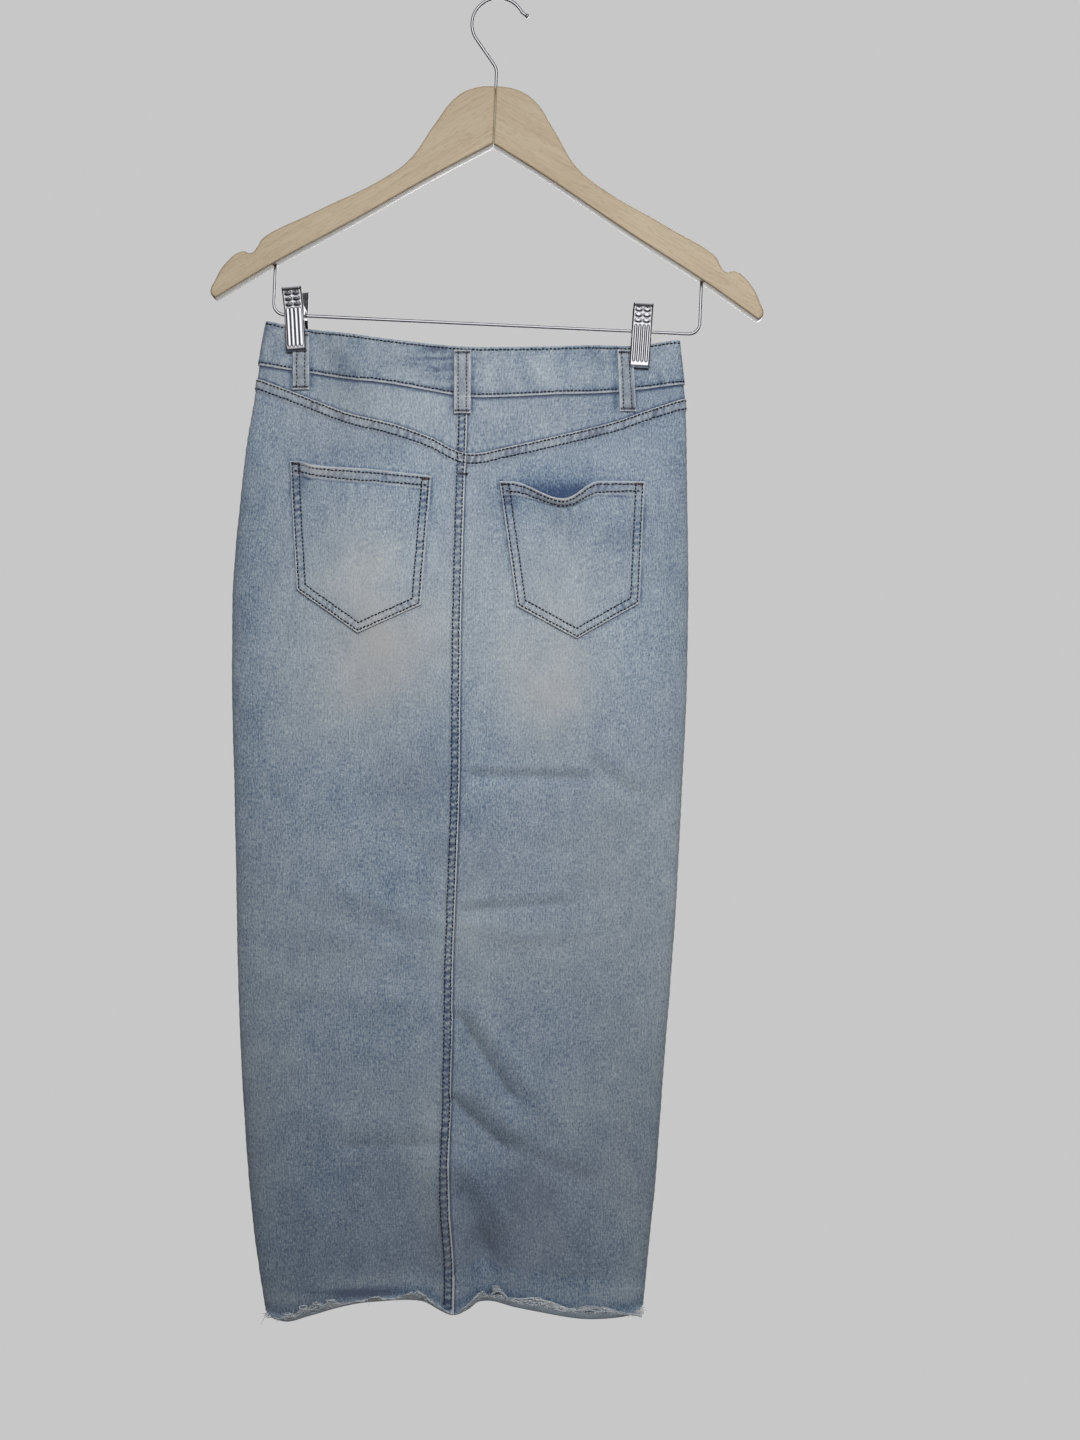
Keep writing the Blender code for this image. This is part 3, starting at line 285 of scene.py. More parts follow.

# Places with more dye than that, or less, and where the wash yellowed the cloth, with each patch's
# reach. Some darker ones, marked below, are painted shade
Patch = namedtuple("Patch", "x z wide tall dye warm")
WASH_AND_SHADE = {
    "back": rows(
        Patch,
        (-104, -468, 34, 46, -0.2, 0.34), (-101, -540, 44, 46, -0.15, 0.5),
        (-52, -500, 24, 52, -0.08, 0.1), (58, -480, 34, 40, -0.04, 0.1), (98, -430, 26, 34, 0.13, 0),
        (44, -546, 31, 44, -0.2, 0.42), (4, -520, 20, 60, -0.08, 0.08), (2, -420, 16, 40, 0.11, 0),
        (0, -354, 18, 14, 0.06, 0), (-140, -436, 20, 36, 0.07, -0.05), (-56, -424, 16, 24, 0.07, -0.05),
        (-205, -500, 22, 130, 0.11, -0.24), (-190, -640, 18, 50, -0.05, 0), (-190, -750, 18, 40, -0.05, 0),
        (142, -450, 14, 80, 0.08, 0), (138, -730, 20, 110, -0.13, 0), (-80, -334, 44, 16, -0.16, 0.05),
        (48, -306, 36, 13, -0.13, 0), (36, -345, 40, 14, -0.05, 0), (-104, -300, 40, 12, 0.08, 0),
        (-132, -372, 40, 10, 0.1, 0), (54, -386, 32, 9, 0.16, 0), (-62, -628, 36, 28, 0.11, 0.12),
        (-70, -570, 36, 18, 0.07, 0.04), (80, -700, 40, 40, -0.01, 0.08),
        (-140, -690, 30, 30, -0.06, 0.05), (-20, -757, 38, 26, -0.12, 0.05), (-140, -760, 30, 22, 0.05, 0),
        # Painted shade: the patches at (0, -882) on the next line and (-8, -1002) below darken fold shadows
        (4, -820, 30, 22, 0.06, 0.05), (0, -882, 20, 18, 0.06, 0.08), (52, -880, 26, 24, -0.06, 0.05),
        (-120, -850, 60, 30, 0.05, 0), (-55, -915, 12, 60, -0.13, 0.05), (20, -950, 44, 28, 0.14, 0.04),
        (106, -1000, 28, 46, -0.17, 0.04), (-186, -990, 20, 60, -0.08, 0), (-8, -1002, 22, 44, 0.18, 0),
        (-93, -944, 28, 24, 0.06, 0), (-58, -945, 13, 24, -0.08, 0), (48, -652, 26, 40, 0.02, 0),
        # Painted shade: the three thin patches on the next line are the shadow in the hollow above the curled
        # hem
        (-126, -1036.5, 30, 3.2, 0.42, 0), (-94, -1034.5, 22, 3, 0.26, 0), (-5, -1039, 9, 3.5, 0.35, 0)),
    "front": rows(
        Patch,
        (-110, -500, 40, 100, -0.16, 0.4), (60, -500, 40, 100, -0.16, 0.4), (-36, -560, 26, 160, 0.08, 0),
        (-200, -520, 26, 160, 0.2, 0), (142, -520, 20, 160, 0.16, 0), (-80, -700, 70, 60, 0.05, 0.1)),
}

# Right half of the wooden hanger's outline, on its own centre line. Kind says whether a point is a corner
WoodPoint = namedtuple("WoodPoint", "x z kind")
WOOD_OUTLINE = rows(
    WoodPoint,
    (0, -72.2, "corner"), (15, -73.8, "smooth"), (30.5, -81.6, "smooth"), (48, -105, "smooth"),
    (67, -134, "smooth"), (86, -149.2, "smooth"), (142, -179.6, "smooth"), (183.4, -203.2, "smooth"),
    (186.2, -208.6, "smooth"), (191.8, -214.6, "smooth"), (198.2, -213.4, "smooth"),
    (211.2, -223, "smooth"), (219.6, -237.4, "smooth"), (222.8, -248.2, "smooth"), (219, -251.8, "corner"),
    (174, -222.6, "smooth"), (112, -186, "smooth"), (40, -141.6, "smooth"), (0, -118.7, "corner"))


# Reading the tables

def along(table, column, position):
    """A named column's values at positions in the first column, on a smooth curve through the rows."""
    keys = np.array([row[0] for row in table], float)
    values = np.array([getattr(row, column) for row in table], float)
    slopes = np.gradient(values, keys)
    slopes[1:-1] = (values[2:] - values[:-2]) / (keys[2:] - keys[:-2])
    position = np.clip(position, keys[0], keys[-1])
    start = np.clip(np.searchsorted(keys, position, side="right") - 1, 0, len(keys) - 2)
    step = keys[start + 1] - keys[start]
    u = (position - keys[start]) / step
    rise = (3 - 2 * u) * u * u
    return (values[start] * (1 - rise) + values[start + 1] * rise
            + step * u * (1 - u) * (slopes[start] * (1 - u) - slopes[start + 1] * u))


def smooth_step(low, high, value):
    u = np.clip((value - low) / (high - low), 0, 1)
    return u * u * (3 - 2 * u)


def ridge(value, width):
    """1 on a line and fading away from it on both sides."""
    return np.exp(-(value / width) ** 2)


def rounded(inset, radius):
    """How far a rounded edge falls below the flat, at a distance in from the edge."""
    inward = np.clip(radius - inset, 0, radius)
    return radius - np.sqrt(radius ** 2 - inward ** 2)


def cloud(x, z, size, seed):
    """Soft random hills from -1 to 1, about that size in mm."""
    lattice = np.random.default_rng(seed).uniform(-1, 1, (256, 256))
    u = np.asarray(x, float) / size + 128.37
    v = np.asarray(z, float) / size + 4096.71
    i, j = np.floor(u).astype(int), np.floor(v).astype(int)
    u, v = u - i, v - j
    u, v = u * u * (3 - 2 * u), v * v * (3 - 2 * v)
    i, j, i_next, j_next = i % 256, j % 256, (i + 1) % 256, (j + 1) % 256
    low = lattice[i, j] * (1 - u) + lattice[i_next, j] * u
    high = lattice[i, j_next] * (1 - u) + lattice[i_next, j_next] * u
    return low * (1 - v) + high * v


def puckers(distance, period, seed):
    """The uneven ladder of ridges, from -1 to 1, that a shrunk seam draws the cloth into."""
    phase = distance / period + 0.55 * cloud(distance, 0, 3 * period, seed)
    strength = 0.72 + 0.28 * cloud(distance, 40, 5 * period, seed + 1)
    return np.sin(2 * np.pi * phase) * strength


def stops(*runs):
    """Values from run to run, each given as start, end and about the step between them, the ends included."""
    made = []
    for start, end, step in runs:
        count = max(1, round(abs(end - start) / step))
        made += list(np.linspace(start, end, count + 1))[0 if not made else 1:]
    return np.array(made)


# The skirt's surface

def half_width(across, z):
    """Distance from the centre seam to the cloth's inside at the left or right edge."""
    edge = np.where(np.asarray(across) > 0, along(SECTIONS, "right", z), along(SECTIONS, "left", z))
    return np.abs(edge - along(SECTIONS, "seam", z)) - PANEL_WALL


def across_of(x, z):
    """How far across the face a point lies, -1 at the left edge and 1 at the right."""
    offset = x - along(SECTIONS, "seam", z)
    return np.clip(offset / half_width(offset, z), -1, 1)


def loop_across(loop):
    """How far across the face a belt loop sits."""
    return across_of(np.array([loop.x_top]), np.array([BAND_HEIGHT]))[0]


def fold_relief(folds, x, z):
    relief = np.zeros_like(x)
    for fold in folds:
        run_x, run_z = fold.x_end - fold.x_start, fold.z_end - fold.z_start
        share = ((x - fold.x_start) * run_x + (z - fold.z_start) * run_z) / (run_x ** 2 + run_z ** 2)
        share = np.clip(share, 0, 1)
        away = np.hypot(x - fold.x_start - share * run_x, z - fold.z_start - share * run_z)
        relief = relief + fold.height * ridge(away, fold.spread)
    return relief


def pinch(x, z):
    """How far a clip presses the two faces together, from 0 to 1."""
    spread = PINCH_SPREAD_AT_TOP + PINCH_SPREAD_GROWTH * np.maximum(PINCH_FULL_HEIGHT - z, 0)
    closeness = np.zeros_like(x)
    for clip in CLIPS:
        away = np.abs(x - clip.x - math.tan(clip.lean) * (z - BAR_LEFT_HEIGHT))
        closeness = np.maximum(closeness, 1 - smooth_step(0, 1, (away - PINCH_HALF_WIDTH) / spread))
    return closeness * smooth_step(PINCH_END_HEIGHT, PINCH_FULL_HEIGHT, z)


def inside(face, turn, z):
    """Points of the cloth's inside. Turn is the angle round the section, from centre seam to side seam."""
    across = np.sin(turn)
    x = along(SECTIONS, "seam", z) + across * half_width(across, z)
    depth = along(SECTIONS, face + "_depth", z) * np.cos(turn)
    relief = fold_relief(FOLDS[face] + CREASES[face], x, z)
    depth = depth + relief * np.minimum(1, FOLD_EDGE_SHARE * np.cos(turn))
    depth = np.maximum(depth, 0) * (1 - pinch(x, z))
    sign = -1 if face == "back" else 1
    return np.stack([x, sign * (SEAM_GAP / 2 + depth), z + 0 * x], axis=-1)


def cloth(face, across, z):
    """Points of the cloth's inside, and the directions straight out of it."""
    across, z = np.broadcast_arrays(np.asarray(across, float), np.asarray(z, float))
    turn = np.arcsin(np.clip(across, -1, 1))
    small = 0.004
    beside = (inside(face, np.minimum(turn + small, np.pi / 2), z)
              - inside(face, np.maximum(turn - small, -np.pi / 2), z))
    up = inside(face, turn, z + 1) - inside(face, turn, z - 1)
    out = np.cross(beside, up) * (1 if face == "back" else -1)
    return inside(face, turn, z), out / np.linalg.norm(out, axis=-1, keepdims=True)


def wash_and_shade(face, x, z):
    """How dark washing left the cloth, from 0 to 1, with some painted shade, and how far washing yellowed it.
    """
    dye = along(TONE_BY_HEIGHT, "dye", z)
    for mottle in MOTTLES:
        dye = dye + mottle.dye * cloud(x, mottle.upright * z, mottle.size, mottle.seed)
    warm = 0.12 + 0.10 * cloud(x, z, 60, 14) + 0.03 * smooth_step(-780.0, -1000.0, z)
    for patch in WASH_AND_SHADE[face]:
        near = np.exp(-((x - patch.x) / patch.wide) ** 2 - ((z - patch.z) / patch.tall) ** 2)
        near = near * (1 + 0.35 * cloud(x, z, 22, 15))
        dye = dye + patch.dye * near
        warm = warm + patch.warm * near
    # A dark line beside each belt loop: painted shadow, with dye the loop kept from the wash
    for loop in LOOPS:
        if loop.face == face:
            beside = np.abs(x - loop.x_top) - LOOP_WIDTH / 2
            above = z - along(SEAM_LINES[face], "band_seam", loop_across(loop))
            level = smooth_step(-3.0, 5.0, above + loop.reach_below)
            level = level * (1 - 0.6 * smooth_step(0.0, 16.0, above))
            dye = dye + LOOP_SHADE * ridge(beside - 0.6, 2.4) * level
    if face == "back":
        below = smooth_step(-2.0, 5.0, HEM_BAND_TOP - HEM_BAND_FALL * np.abs(x - HEM_BAND_MIDDLE) - z)
        below = below * smooth_step(*HEM_BAND_LEFT, x)
        dye = dye - 0.07 * below
        warm = warm - 0.14 * below
    return dye, np.clip(warm, 0, 1)


def under_pockets(x, z):
    """Painted shadow in a thin line round each pocket, and behind its mouth, less faded cloth with painted
    shade.
    """
    kept = np.zeros(x.shape)
    for pocket in POCKETS:
        insets = [inset_from(edge, x, z) for edge in pocket_edges(pocket)]
        side_inset = np.minimum.reduce(insets[:4])
        opened = smooth_step(4.0, 26.0, side_inset) * min(1.0, pocket.dip / 10)
        behind = smooth_step(-7.0, 13.0, insets[4]) * opened
        sides = ridge(side_inset + 0.6, 1.0) * smooth_step(-3.0, 0.0, insets[4])
        mouth = ridge(insets[4] + 0.6, 1.0) * smooth_step(-2.0, 0.0, side_inset) * (1 - opened)
        # Painted contact shadow round each pocket; behind the mouth, less faded cloth and painted shade
        kept = kept + 0.34 * np.maximum(sides, mouth) + 0.62 * behind
    return kept


# Finishes

def linear(code):
    """A colour's sRGB hex code as the linear red, green, blue and alpha that a shader takes."""
    parts = [int(code[i:i + 2], 16) / 255 for i in (1, 3, 5)]
    return (*[p / 12.92 if p <= 0.04045 else ((p + 0.055) / 1.055) ** 2.4 for p in parts], 1.0)


def add_node(tree, kind, values=None, **settings):
    """Adds a node with its settings. A value is put on its input, and a socket is linked to it."""
    node = tree.nodes.new(kind)
    for name, setting in settings.items():
        setattr(node, name, setting)
    for name, value in (values or {}).items():
        if isinstance(value, bpy.types.NodeSocket):
            tree.links.new(value, node.inputs[name])
        else:
            node.inputs[name].default_value = value
    return node


def new_finish(name):
    """An empty material and its node tree."""
    finish = bpy.data.materials.new(name)
    finish.use_nodes = True
    finish.node_tree.nodes.clear()
    return finish, finish.node_tree


def shade(finish, values):
    """Ends a material with its shader, and returns the material."""
    shader = add_node(finish.node_tree, "ShaderNodeBsdfPrincipled", values)
    add_node(finish.node_tree, "ShaderNodeOutputMaterial", {"Surface": shader.outputs[0]})
    return finish


def attribute(tree, name, output="Fac"):
    """What a mesh says at its points under that name."""
    return add_node(tree, "ShaderNodeAttribute", attribute_name=name).outputs[output]


def on_piece(tree):
    return add_node(tree, "ShaderNodeTexCoord").outputs["Object"]


def mapped(tree, place, **values):
    return add_node(tree, "ShaderNodeMapping", {"Vector": place, **values}).outputs[0]


def noise(tree, place, scale, detail, **values):
    values = {"Vector": place, "Scale": scale, "Detail": detail, **values}
    return add_node(tree, "ShaderNodeTexNoise", values).outputs["Fac"]


def calculated(tree, operation, *values):
    return add_node(tree, "ShaderNodeMath", dict(enumerate(values)), operation=operation).outputs[0]


def blended(tree, share, first, second, blend="MIX"):
    colours = {"Factor": share, 6: first, 7: second}
    return add_node(tree, "ShaderNodeMix", colours, data_type="RGBA", blend_type=blend).outputs[2]


def bumped(tree, height, strength, depth):
    """The relief of a pattern, depth mm at most."""
    values = {"Height": height, "Strength": strength, "Distance": depth * MM}
    return add_node(tree, "ShaderNodeBump", values).outputs[0]


def ramp(tree, place, *stations):
    """Colours over a pattern, each given as its place and hex code."""
    node = add_node(tree, "ShaderNodeValToRGB", {"Fac": place})
    elements = node.color_ramp.elements
    while len(elements) < len(stations):
        elements.new(0.5)
    for element, (position, code) in zip(elements, stations):
        element.position = position
        element.color = linear(code)
    return node.outputs[0]


# Patterns in the denim: width across and length along the warp in mm, detail, and share in the dye and in the
# relief. The threads are 0.5 mm apart, too fine to show here, so the finest patterns are drawn about twice as
# wide
Fleck = namedtuple("Fleck", "across along detail dye relief")
DENIM_FLECKS = (
    Fleck(1.1, 24.0, 2.0, 0.44, 0.6),
    Fleck(0.9, 3.4, 1.0, 0.94, 0.5),
    Fleck(8.0, 1.0, 1.0, 0.26, 0.3),
    Fleck(1.4, 1.6, 2.0, 0.84, 0.5),
    Fleck(14.0, 18.0, 3.0, 0.22, 0.0),
)
TWILL_LINES = 1.5
TWILL_SLOPE = math.radians(28)


def stretch_denim(name):
    """Cotton and elastane twill, indigo warp over white weft, stone-washed: indigo stays in the hollows,
    slubs show as pale upright streaks, and worn folds go white."""
    finish, tree = new_finish(name)
    weave = attribute(tree, "weave", "Vector")
    dye, warm, wear, wrong_side = [attribute(tree, word) for word in ("dye", "warm", "wear", "wrong_side")]
    # The darkness read here is the dye the wash left, and also painted shade by laps, pockets, loops and
    # folds
    level = calculated(tree, "SUBTRACT", dye, sum(fleck.dye for fleck in DENIM_FLECKS) / 2)
    turned = mapped(tree, weave, Rotation=(0, 0, TWILL_SLOPE))
    twill = add_node(tree, "ShaderNodeTexWave", {"Vector": turned, "Scale": 0.5 / TWILL_LINES,
                                                 "Distortion": 1.2, "Detail": 1.0, "Detail Scale": 2.0})
    relief = calculated(tree, "MULTIPLY", twill.outputs["Fac"], 0.4)
    for fleck in DENIM_FLECKS:
        drawn_out = mapped(tree, weave, Scale=(1 / fleck.across, 1 / fleck.along, 1))
        texture = noise(tree, drawn_out, 1.0, fleck.detail)
        level = calculated(tree, "MULTIPLY_ADD", texture, fleck.dye, level)
        relief = calculated(tree, "MULTIPLY_ADD", texture, fleck.relief, relief)
    dyed = ramp(tree, level, (0.0, "#D6DFE3"), (0.28, "#B7C5D0"), (0.50, "#98A9BA"), (0.74, "#6C849F"),
                (1.0, "#355077"))
    yellowed = blended(tree, warm, dyed, linear("#C5C3C2"))
    patchy = calculated(tree, "MULTIPLY_ADD", level, -0.5, 1.15)
    worn = blended(tree, calculated(tree, "MULTIPLY", wear, patchy), yellowed, linear("#E6E9EA"))
    weft = blended(tree, calculated(tree, "MULTIPLY", wrong_side, 0.5), worn, linear("#C2CBD2"))
    return shade(finish, {"Base Color": weft, "Roughness": 0.92, "Normal": bumped(tree, relief, 0.4, 0.4),
                          "IOR": 1.45, "Specular IOR Level": 0.25, "Sheen Weight": 0.15,
                          "Sheen Roughness": 0.5})


# Sizes of the other finishes' patterns in mm: the thread's twist, the wood's grain along, through and across
# the arm, and the rubbing marks on metal
THREAD_TWIST = 0.6
WOOD_BANDS = (140.0, 17.0, 13.0)
WOOD_STREAKS = (42.0, 2.6, 1.6)
WOOD_PORES = (6.0, 1.1, 0.8)
RUB_MARKS = 1.1


def sewing_thread(name, light, dark):
    """Spun polyester core thread: matt, twisted, and each stitch lighter or darker as washing rubbed it."""
    finish, tree = new_finish(name)
    tone = ramp(tree, attribute(tree, "tone"), (0.0, dark), (1.0, light))
    twist = noise(tree, on_piece(tree), 1 / (THREAD_TWIST * MM), 1.0)
    return shade(finish, {"Base Color": tone, "Roughness": 0.8, "Normal": bumped(tree, twist, 0.5, 0.2),
                          "Sheen Weight": 0.1})


def varnished_wood(name, slope):
    """Pale rubberwood, planed and given a thin clear satin varnish: long soft grain along the arm, fine dark
    pores, and a slight shine on the rounded edges."""
    finish, tree = new_finish(name)
    turned = mapped(tree, on_piece(tree), Rotation=(0, slope, 0))
    bands, streaks, pores = [
        noise(tree, mapped(tree, turned, Scale=tuple(1 / (size * MM) for size in sizes)), 1.0, detail,
              Roughness=0.6, Distortion=bend)
        for sizes, detail, bend in ((WOOD_BANDS, 4.0, 0.6), (WOOD_STREAKS, 2.0, 0.2), (WOOD_PORES, 0.0, 0.0))]
    base = ramp(tree, bands, (0.28, "#C7B08F"), (0.46, "#CDB898"), (0.60, "#D1BD9E"), (0.78, "#CBB595"))
    streak_tone = ramp(tree, streaks, (0.33, "#E9E5E0"), (0.55, "#FFFFFF"))
    pore_tone = ramp(tree, pores, (0.30, "#CDBFB0"), (0.37, "#FFFFFF"))
    grained = blended(tree, 0.6, base, streak_tone, "MULTIPLY")
    return shade(finish, {"Base Color": blended(tree, 0.3, grained, pore_tone, "MULTIPLY"), "Roughness": 0.42,
                          "Normal": bumped(tree, pore_tone, 0.25, 0.2), "Coat Weight": 0.6,
                          "Coat Roughness": 0.12, "IOR": 1.5})


def bright_metal(name, colour, roughness, scratch):
    """Pressed or drawn steel, plated bright: a mirror with faint rubbing marks, darker and rougher where dirt
    settled and where dark reflection is painted.
    """
    finish, tree = new_finish(name)
    grime = attribute(tree, "grime")
    marks = noise(tree, on_piece(tree), 1 / (RUB_MARKS * MM), 3.0)
    rubbed = add_node(tree, "ShaderNodeMapRange", {"Value": marks, "To Min": roughness,
                                                   "To Max": roughness + scratch}).outputs[0]
    # The dark colour marks dirt and painted dark reflection
    return shade(finish, {"Base Color": blended(tree, grime, linear(colour), linear("#2B2C35")),
                          "Metallic": 1.0, "Roughness": calculated(tree, "MULTIPLY_ADD", grime, 0.3, rubbed),
                          "Normal": bumped(tree, marks, 0.08, 0.1)})


DENIM = stretch_denim("stone_washed_stretch_denim")
THREAD = sewing_thread("slate_sewing_thread", "#2B2E3B", "#0D1019")
RUST_THREAD = sewing_thread("rust_bartack_thread", "#8E5F49", "#5A4038")
FRAY = sewing_thread("white_weft_thread", "#F4F7F9", "#AEBCC8")
WOOD_LEFT = varnished_wood("varnished_rubberwood_left", math.radians(30))
WOOD_RIGHT = varnished_wood("varnished_rubberwood_right", math.radians(-30))
CHROME = bright_metal("chrome_plated_steel", "#D8D8DD", 0.10, 0.10)
WIRE = bright_metal("drawn_steel_wire", "#C6C6CA", 0.09, 0.06)
BRASS = bright_metal("aged_copper_button", "#8F6B4A", 0.32, 0.2)


# Making pieces

# What the low lamp behind shines on: the wood, whose varnished lower faces mirror it at a low angle
VARNISHED = bpy.data.collections.new("varnished_parts")


def place_piece(name, mesh, finish, slot, replaced=()):
    """Puts a finished mesh in the scene, on the hanger's body."""
    mesh.materials.append(finish)
    piece = bpy.data.objects.new(name + "_" + slot if replaced else name, mesh)
    bpy.context.scene.collection.objects.link(piece)
    if finish in (WOOD_LEFT, WOOD_RIGHT):
        VARNISHED.objects.link(piece)
    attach(piece, "root")
    if replaced:
        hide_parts(*replaced)


def write_tints(mesh, tints):
    for name, values in tints.items():
        values = np.asarray(values, float)
        kind = "FLOAT" if values.ndim == 1 else "FLOAT_VECTOR"
        field = "value" if values.ndim == 1 else "vector"
        mesh.attributes.new(name, kind, "POINT").data.foreach_set(field, values.ravel())


def smooth(mesh, sharp):
    """Smooth shading, apart from edges that turn by more than sharp degrees."""
    mesh.shade_smooth()
    mesh.set_sharp_from_angle(angle=math.radians(sharp))


def closed_sheet(name, outer, base):
    """A mesh between two grids of points, its outer and its inner side, with a rim that joins them."""
    under = outer.shape[0] * outer.shape[1]
    index = np.arange(under).reshape(outer.shape[:2])
    faces = np.stack([index[:-1, :-1], index[1:, :-1], index[1:, 1:], index[:-1, 1:]], axis=-1).reshape(-1, 4)
    border = np.concatenate([index[0, :-1], index[:-1, -1], index[-1, :0:-1], index[:0:-1, 0]])
    following = np.roll(border, -1)
    rim = np.stack([border, following, following + under, border + under], axis=-1)
    mesh = bpy.data.meshes.new(name)
    mesh.from_pydata(np.concatenate([outer.reshape(-1, 3), base.reshape(-1, 3)]) * MM, [],
                     np.concatenate([faces, faces[:, ::-1] + under, rim]).tolist())
    return mesh


Sewn = namedtuple("Sewn", "outer out")


def grain(base, seam_last=False, shift=0.0):
    """Where each point lies on the flat cloth: mm across from the seam, and mm along the warp."""
    steps = np.linalg.norm(np.diff(base, axis=1), axis=-1)
    across = np.concatenate([np.zeros((len(base), 1)), np.cumsum(steps, axis=1)], axis=1)
    if seam_last:
        across = across - across[:, -1:]
    steps = np.linalg.norm(np.diff(base, axis=0), axis=-1).mean(axis=1)
    down = np.concatenate([[0], np.cumsum(steps)])[:, None]
    return across + shift, shift - down + 0 * across


def cut_piece(name, base, out, height, weave, dye, warm, wear):
    """A closed sheet of denim in place of its solid: its inner side lies on base, its outer side stands
    height above it. Rows run downwards and columns to the right, as seen from outside."""
    outer = base + out * height[..., None]
    mesh = closed_sheet(name, outer, base)
    tints = {"dye": dye, "warm": warm, "wear": np.clip(wear, 0, 1)}
    tints = {key: np.tile(np.broadcast_to(value, height.shape).ravel(), 2) for key, value in tints.items()}
    plane = np.stack([*weave, np.zeros(height.shape)], axis=-1).reshape(-1, 3)
    tints["weave"] = np.tile(plane, (2, 1))
    tints["wrong_side"] = np.repeat([0, 1], height.size)
    write_tints(mesh, tints)
    smooth(mesh, 60)
    place_piece(name, mesh, DENIM, "denim", (name,))
    return Sewn(outer, out)


def unit(vectors):
    return vectors / np.maximum(np.linalg.norm(vectors, axis=-1, keepdims=True), 1e-9)


def round_off(paths, frames, radii, sides):
    """Points and faces of many round threads: paths and radii by thread and step, frames across them."""
    angle = np.arange(sides) * 2 * np.pi / sides
    first, second = frames
    ring = (first[:, :, None, :] * np.cos(angle)[None, None, :, None]
            + second[:, :, None, :] * np.sin(angle)[None, None, :, None])
    points = (paths[:, :, None, :] + ring * radii[:, :, None, None]).reshape(-1, 3)
    index = np.arange(len(points)).reshape(*radii.shape, sides)
    after = np.roll(index, -1, axis=2)
    tube = np.stack([index[:, :-1], index[:, 1:], after[:, 1:], after[:, :-1]], axis=-1).reshape(-1, 4)
    return points, tube.tolist() + index[:, 0].tolist() + index[:, -1, ::-1].tolist()


def threads(name, paths, normals, radii, finish, slot, tone, sides=5, replaced=()):
    """One mesh of many threads. Normals are unit vectors, by thread, that point out of the cloth."""
    tangent = unit(np.gradient(paths, axis=1))
    side = unit(np.cross(tangent, normals))
    points, faces = round_off(paths, (side, np.cross(side, tangent)), radii, sides)
    mesh = bpy.data.meshes.new(name)
    mesh.from_pydata(points * MM, [], faces)
    write_tints(mesh, {"tone": np.repeat(tone, radii.shape[1] * sides)})
    mesh.shade_smooth()
    place_piece(name, mesh, finish, slot, replaced)


# A stitch's shape from end to end: where its steps lie, how far they rise and how thick they are, in radii
STITCH_SHARES = np.array([-0.5, -0.38, 0.0, 0.38, 0.5])
STITCH_RISES = np.array([-0.35, 0.14, 0.36, 0.14, -0.35]) / 0.3
STITCH_THICKNESS = np.array([0.55, 0.92, 1.0, 0.92, 0.55])


def resample(points, spacing):
    """Arc lengths along a polyline: at its points, and at even spacing."""
    total = np.concatenate([[0], np.cumsum(np.linalg.norm(np.diff(points, axis=0), axis=-1))])
    count = int(total[-1] / spacing)
    return total, (total[-1] - count * spacing) / 2 + (np.arange(count) + 0.5) * spacing


def at_lengths(total, values, lengths):
    return np.stack([np.interp(lengths, total, values[:, k]) for k in range(values.shape[1])], axis=-1)


def stitched(name, lines, seed, radius=THREAD_RADIUS):
    """Rows of lock stitches. Each line is points on the cloth's outer side, and directions out of it."""
    rng = np.random.default_rng(seed)
    paths, normals = [], []
    for points, out in lines:
        total, middles = resample(points, STITCH_PITCH)
        count = len(middles)
        if not count:
            continue
        middles = middles + rng.normal(0, 0.08, count)
        lengths = STITCH_LENGTH * (1 + rng.normal(0, 0.06, (count, 1)))
        flat = (middles[:, None] + STITCH_SHARES * lengths).ravel()
        normal = unit(at_lengths(total, out, flat))
        rise = np.tile(STITCH_RISES * radius, count)[:, None]
        place = at_lengths(total, points, flat) + normal * rise
        along_row = np.gradient(at_lengths(total, points, middles), axis=0) if count > 1 else points[:1]
        sideways = unit(np.cross(np.repeat(along_row, len(STITCH_SHARES), axis=0), normal))
        wobble = rng.normal(0, 0.12, (count, 1)) + np.outer(rng.normal(0, 0.10, count), STITCH_SHARES * 2)
        paths.append((place + sideways * wobble.reshape(-1, 1)).reshape(count, -1, 3))
        normals.append(normal.reshape(count, -1, 3))
    paths, normals = np.concatenate(paths), np.concatenate(normals)
    radii = np.tile(STITCH_THICKNESS * radius, (len(paths), 1))
    threads(name, paths, normals, radii, THREAD, "thread", rng.uniform(0, 1, len(paths)))


# Back and front panels

def across_at(side, inset, share, z):
    """Where a column lies: inset mm from the centre seam, then a share of the turn left to the side seam."""
    start = np.arcsin(np.clip(inset / half_width(side, z), 0, 1))
    return side * np.sin(start + share * (np.pi / 2 - start))


def cross_seam(face, line, side, insets, shares, shift):
    """Height of a cross seam where each column meets it."""
    z = np.full(insets.shape, YOKE_HEIGHT)
    for _ in range(4):
        z = along(SEAM_LINES[face], line, across_at(side, insets, shares, z)) + shift
    return z


def panel_columns(near, beyond, depth=27.0):
    """Insets and shares of the columns: near ones by distance, then about evenly along cloth that swells by
    depth."""
    start = math.asin(near[-1] / PANEL_TYPICAL_WIDTH)
    fine = np.linspace(0, 1, 400)
    turn = start + fine * (math.pi / 2 - start)
    steps = np.hypot(PANEL_TYPICAL_WIDTH * np.cos(turn), depth * np.sin(turn))[1:]
    travelled = np.concatenate([[0], np.cumsum(steps)])
    shares = np.interp(np.linspace(0, travelled[-1], beyond + 1)[1:], travelled, fine)
    insets = np.concatenate([near, np.full(beyond, near[-1])])
    return insets, np.concatenate([np.zeros(len(near)), shares])


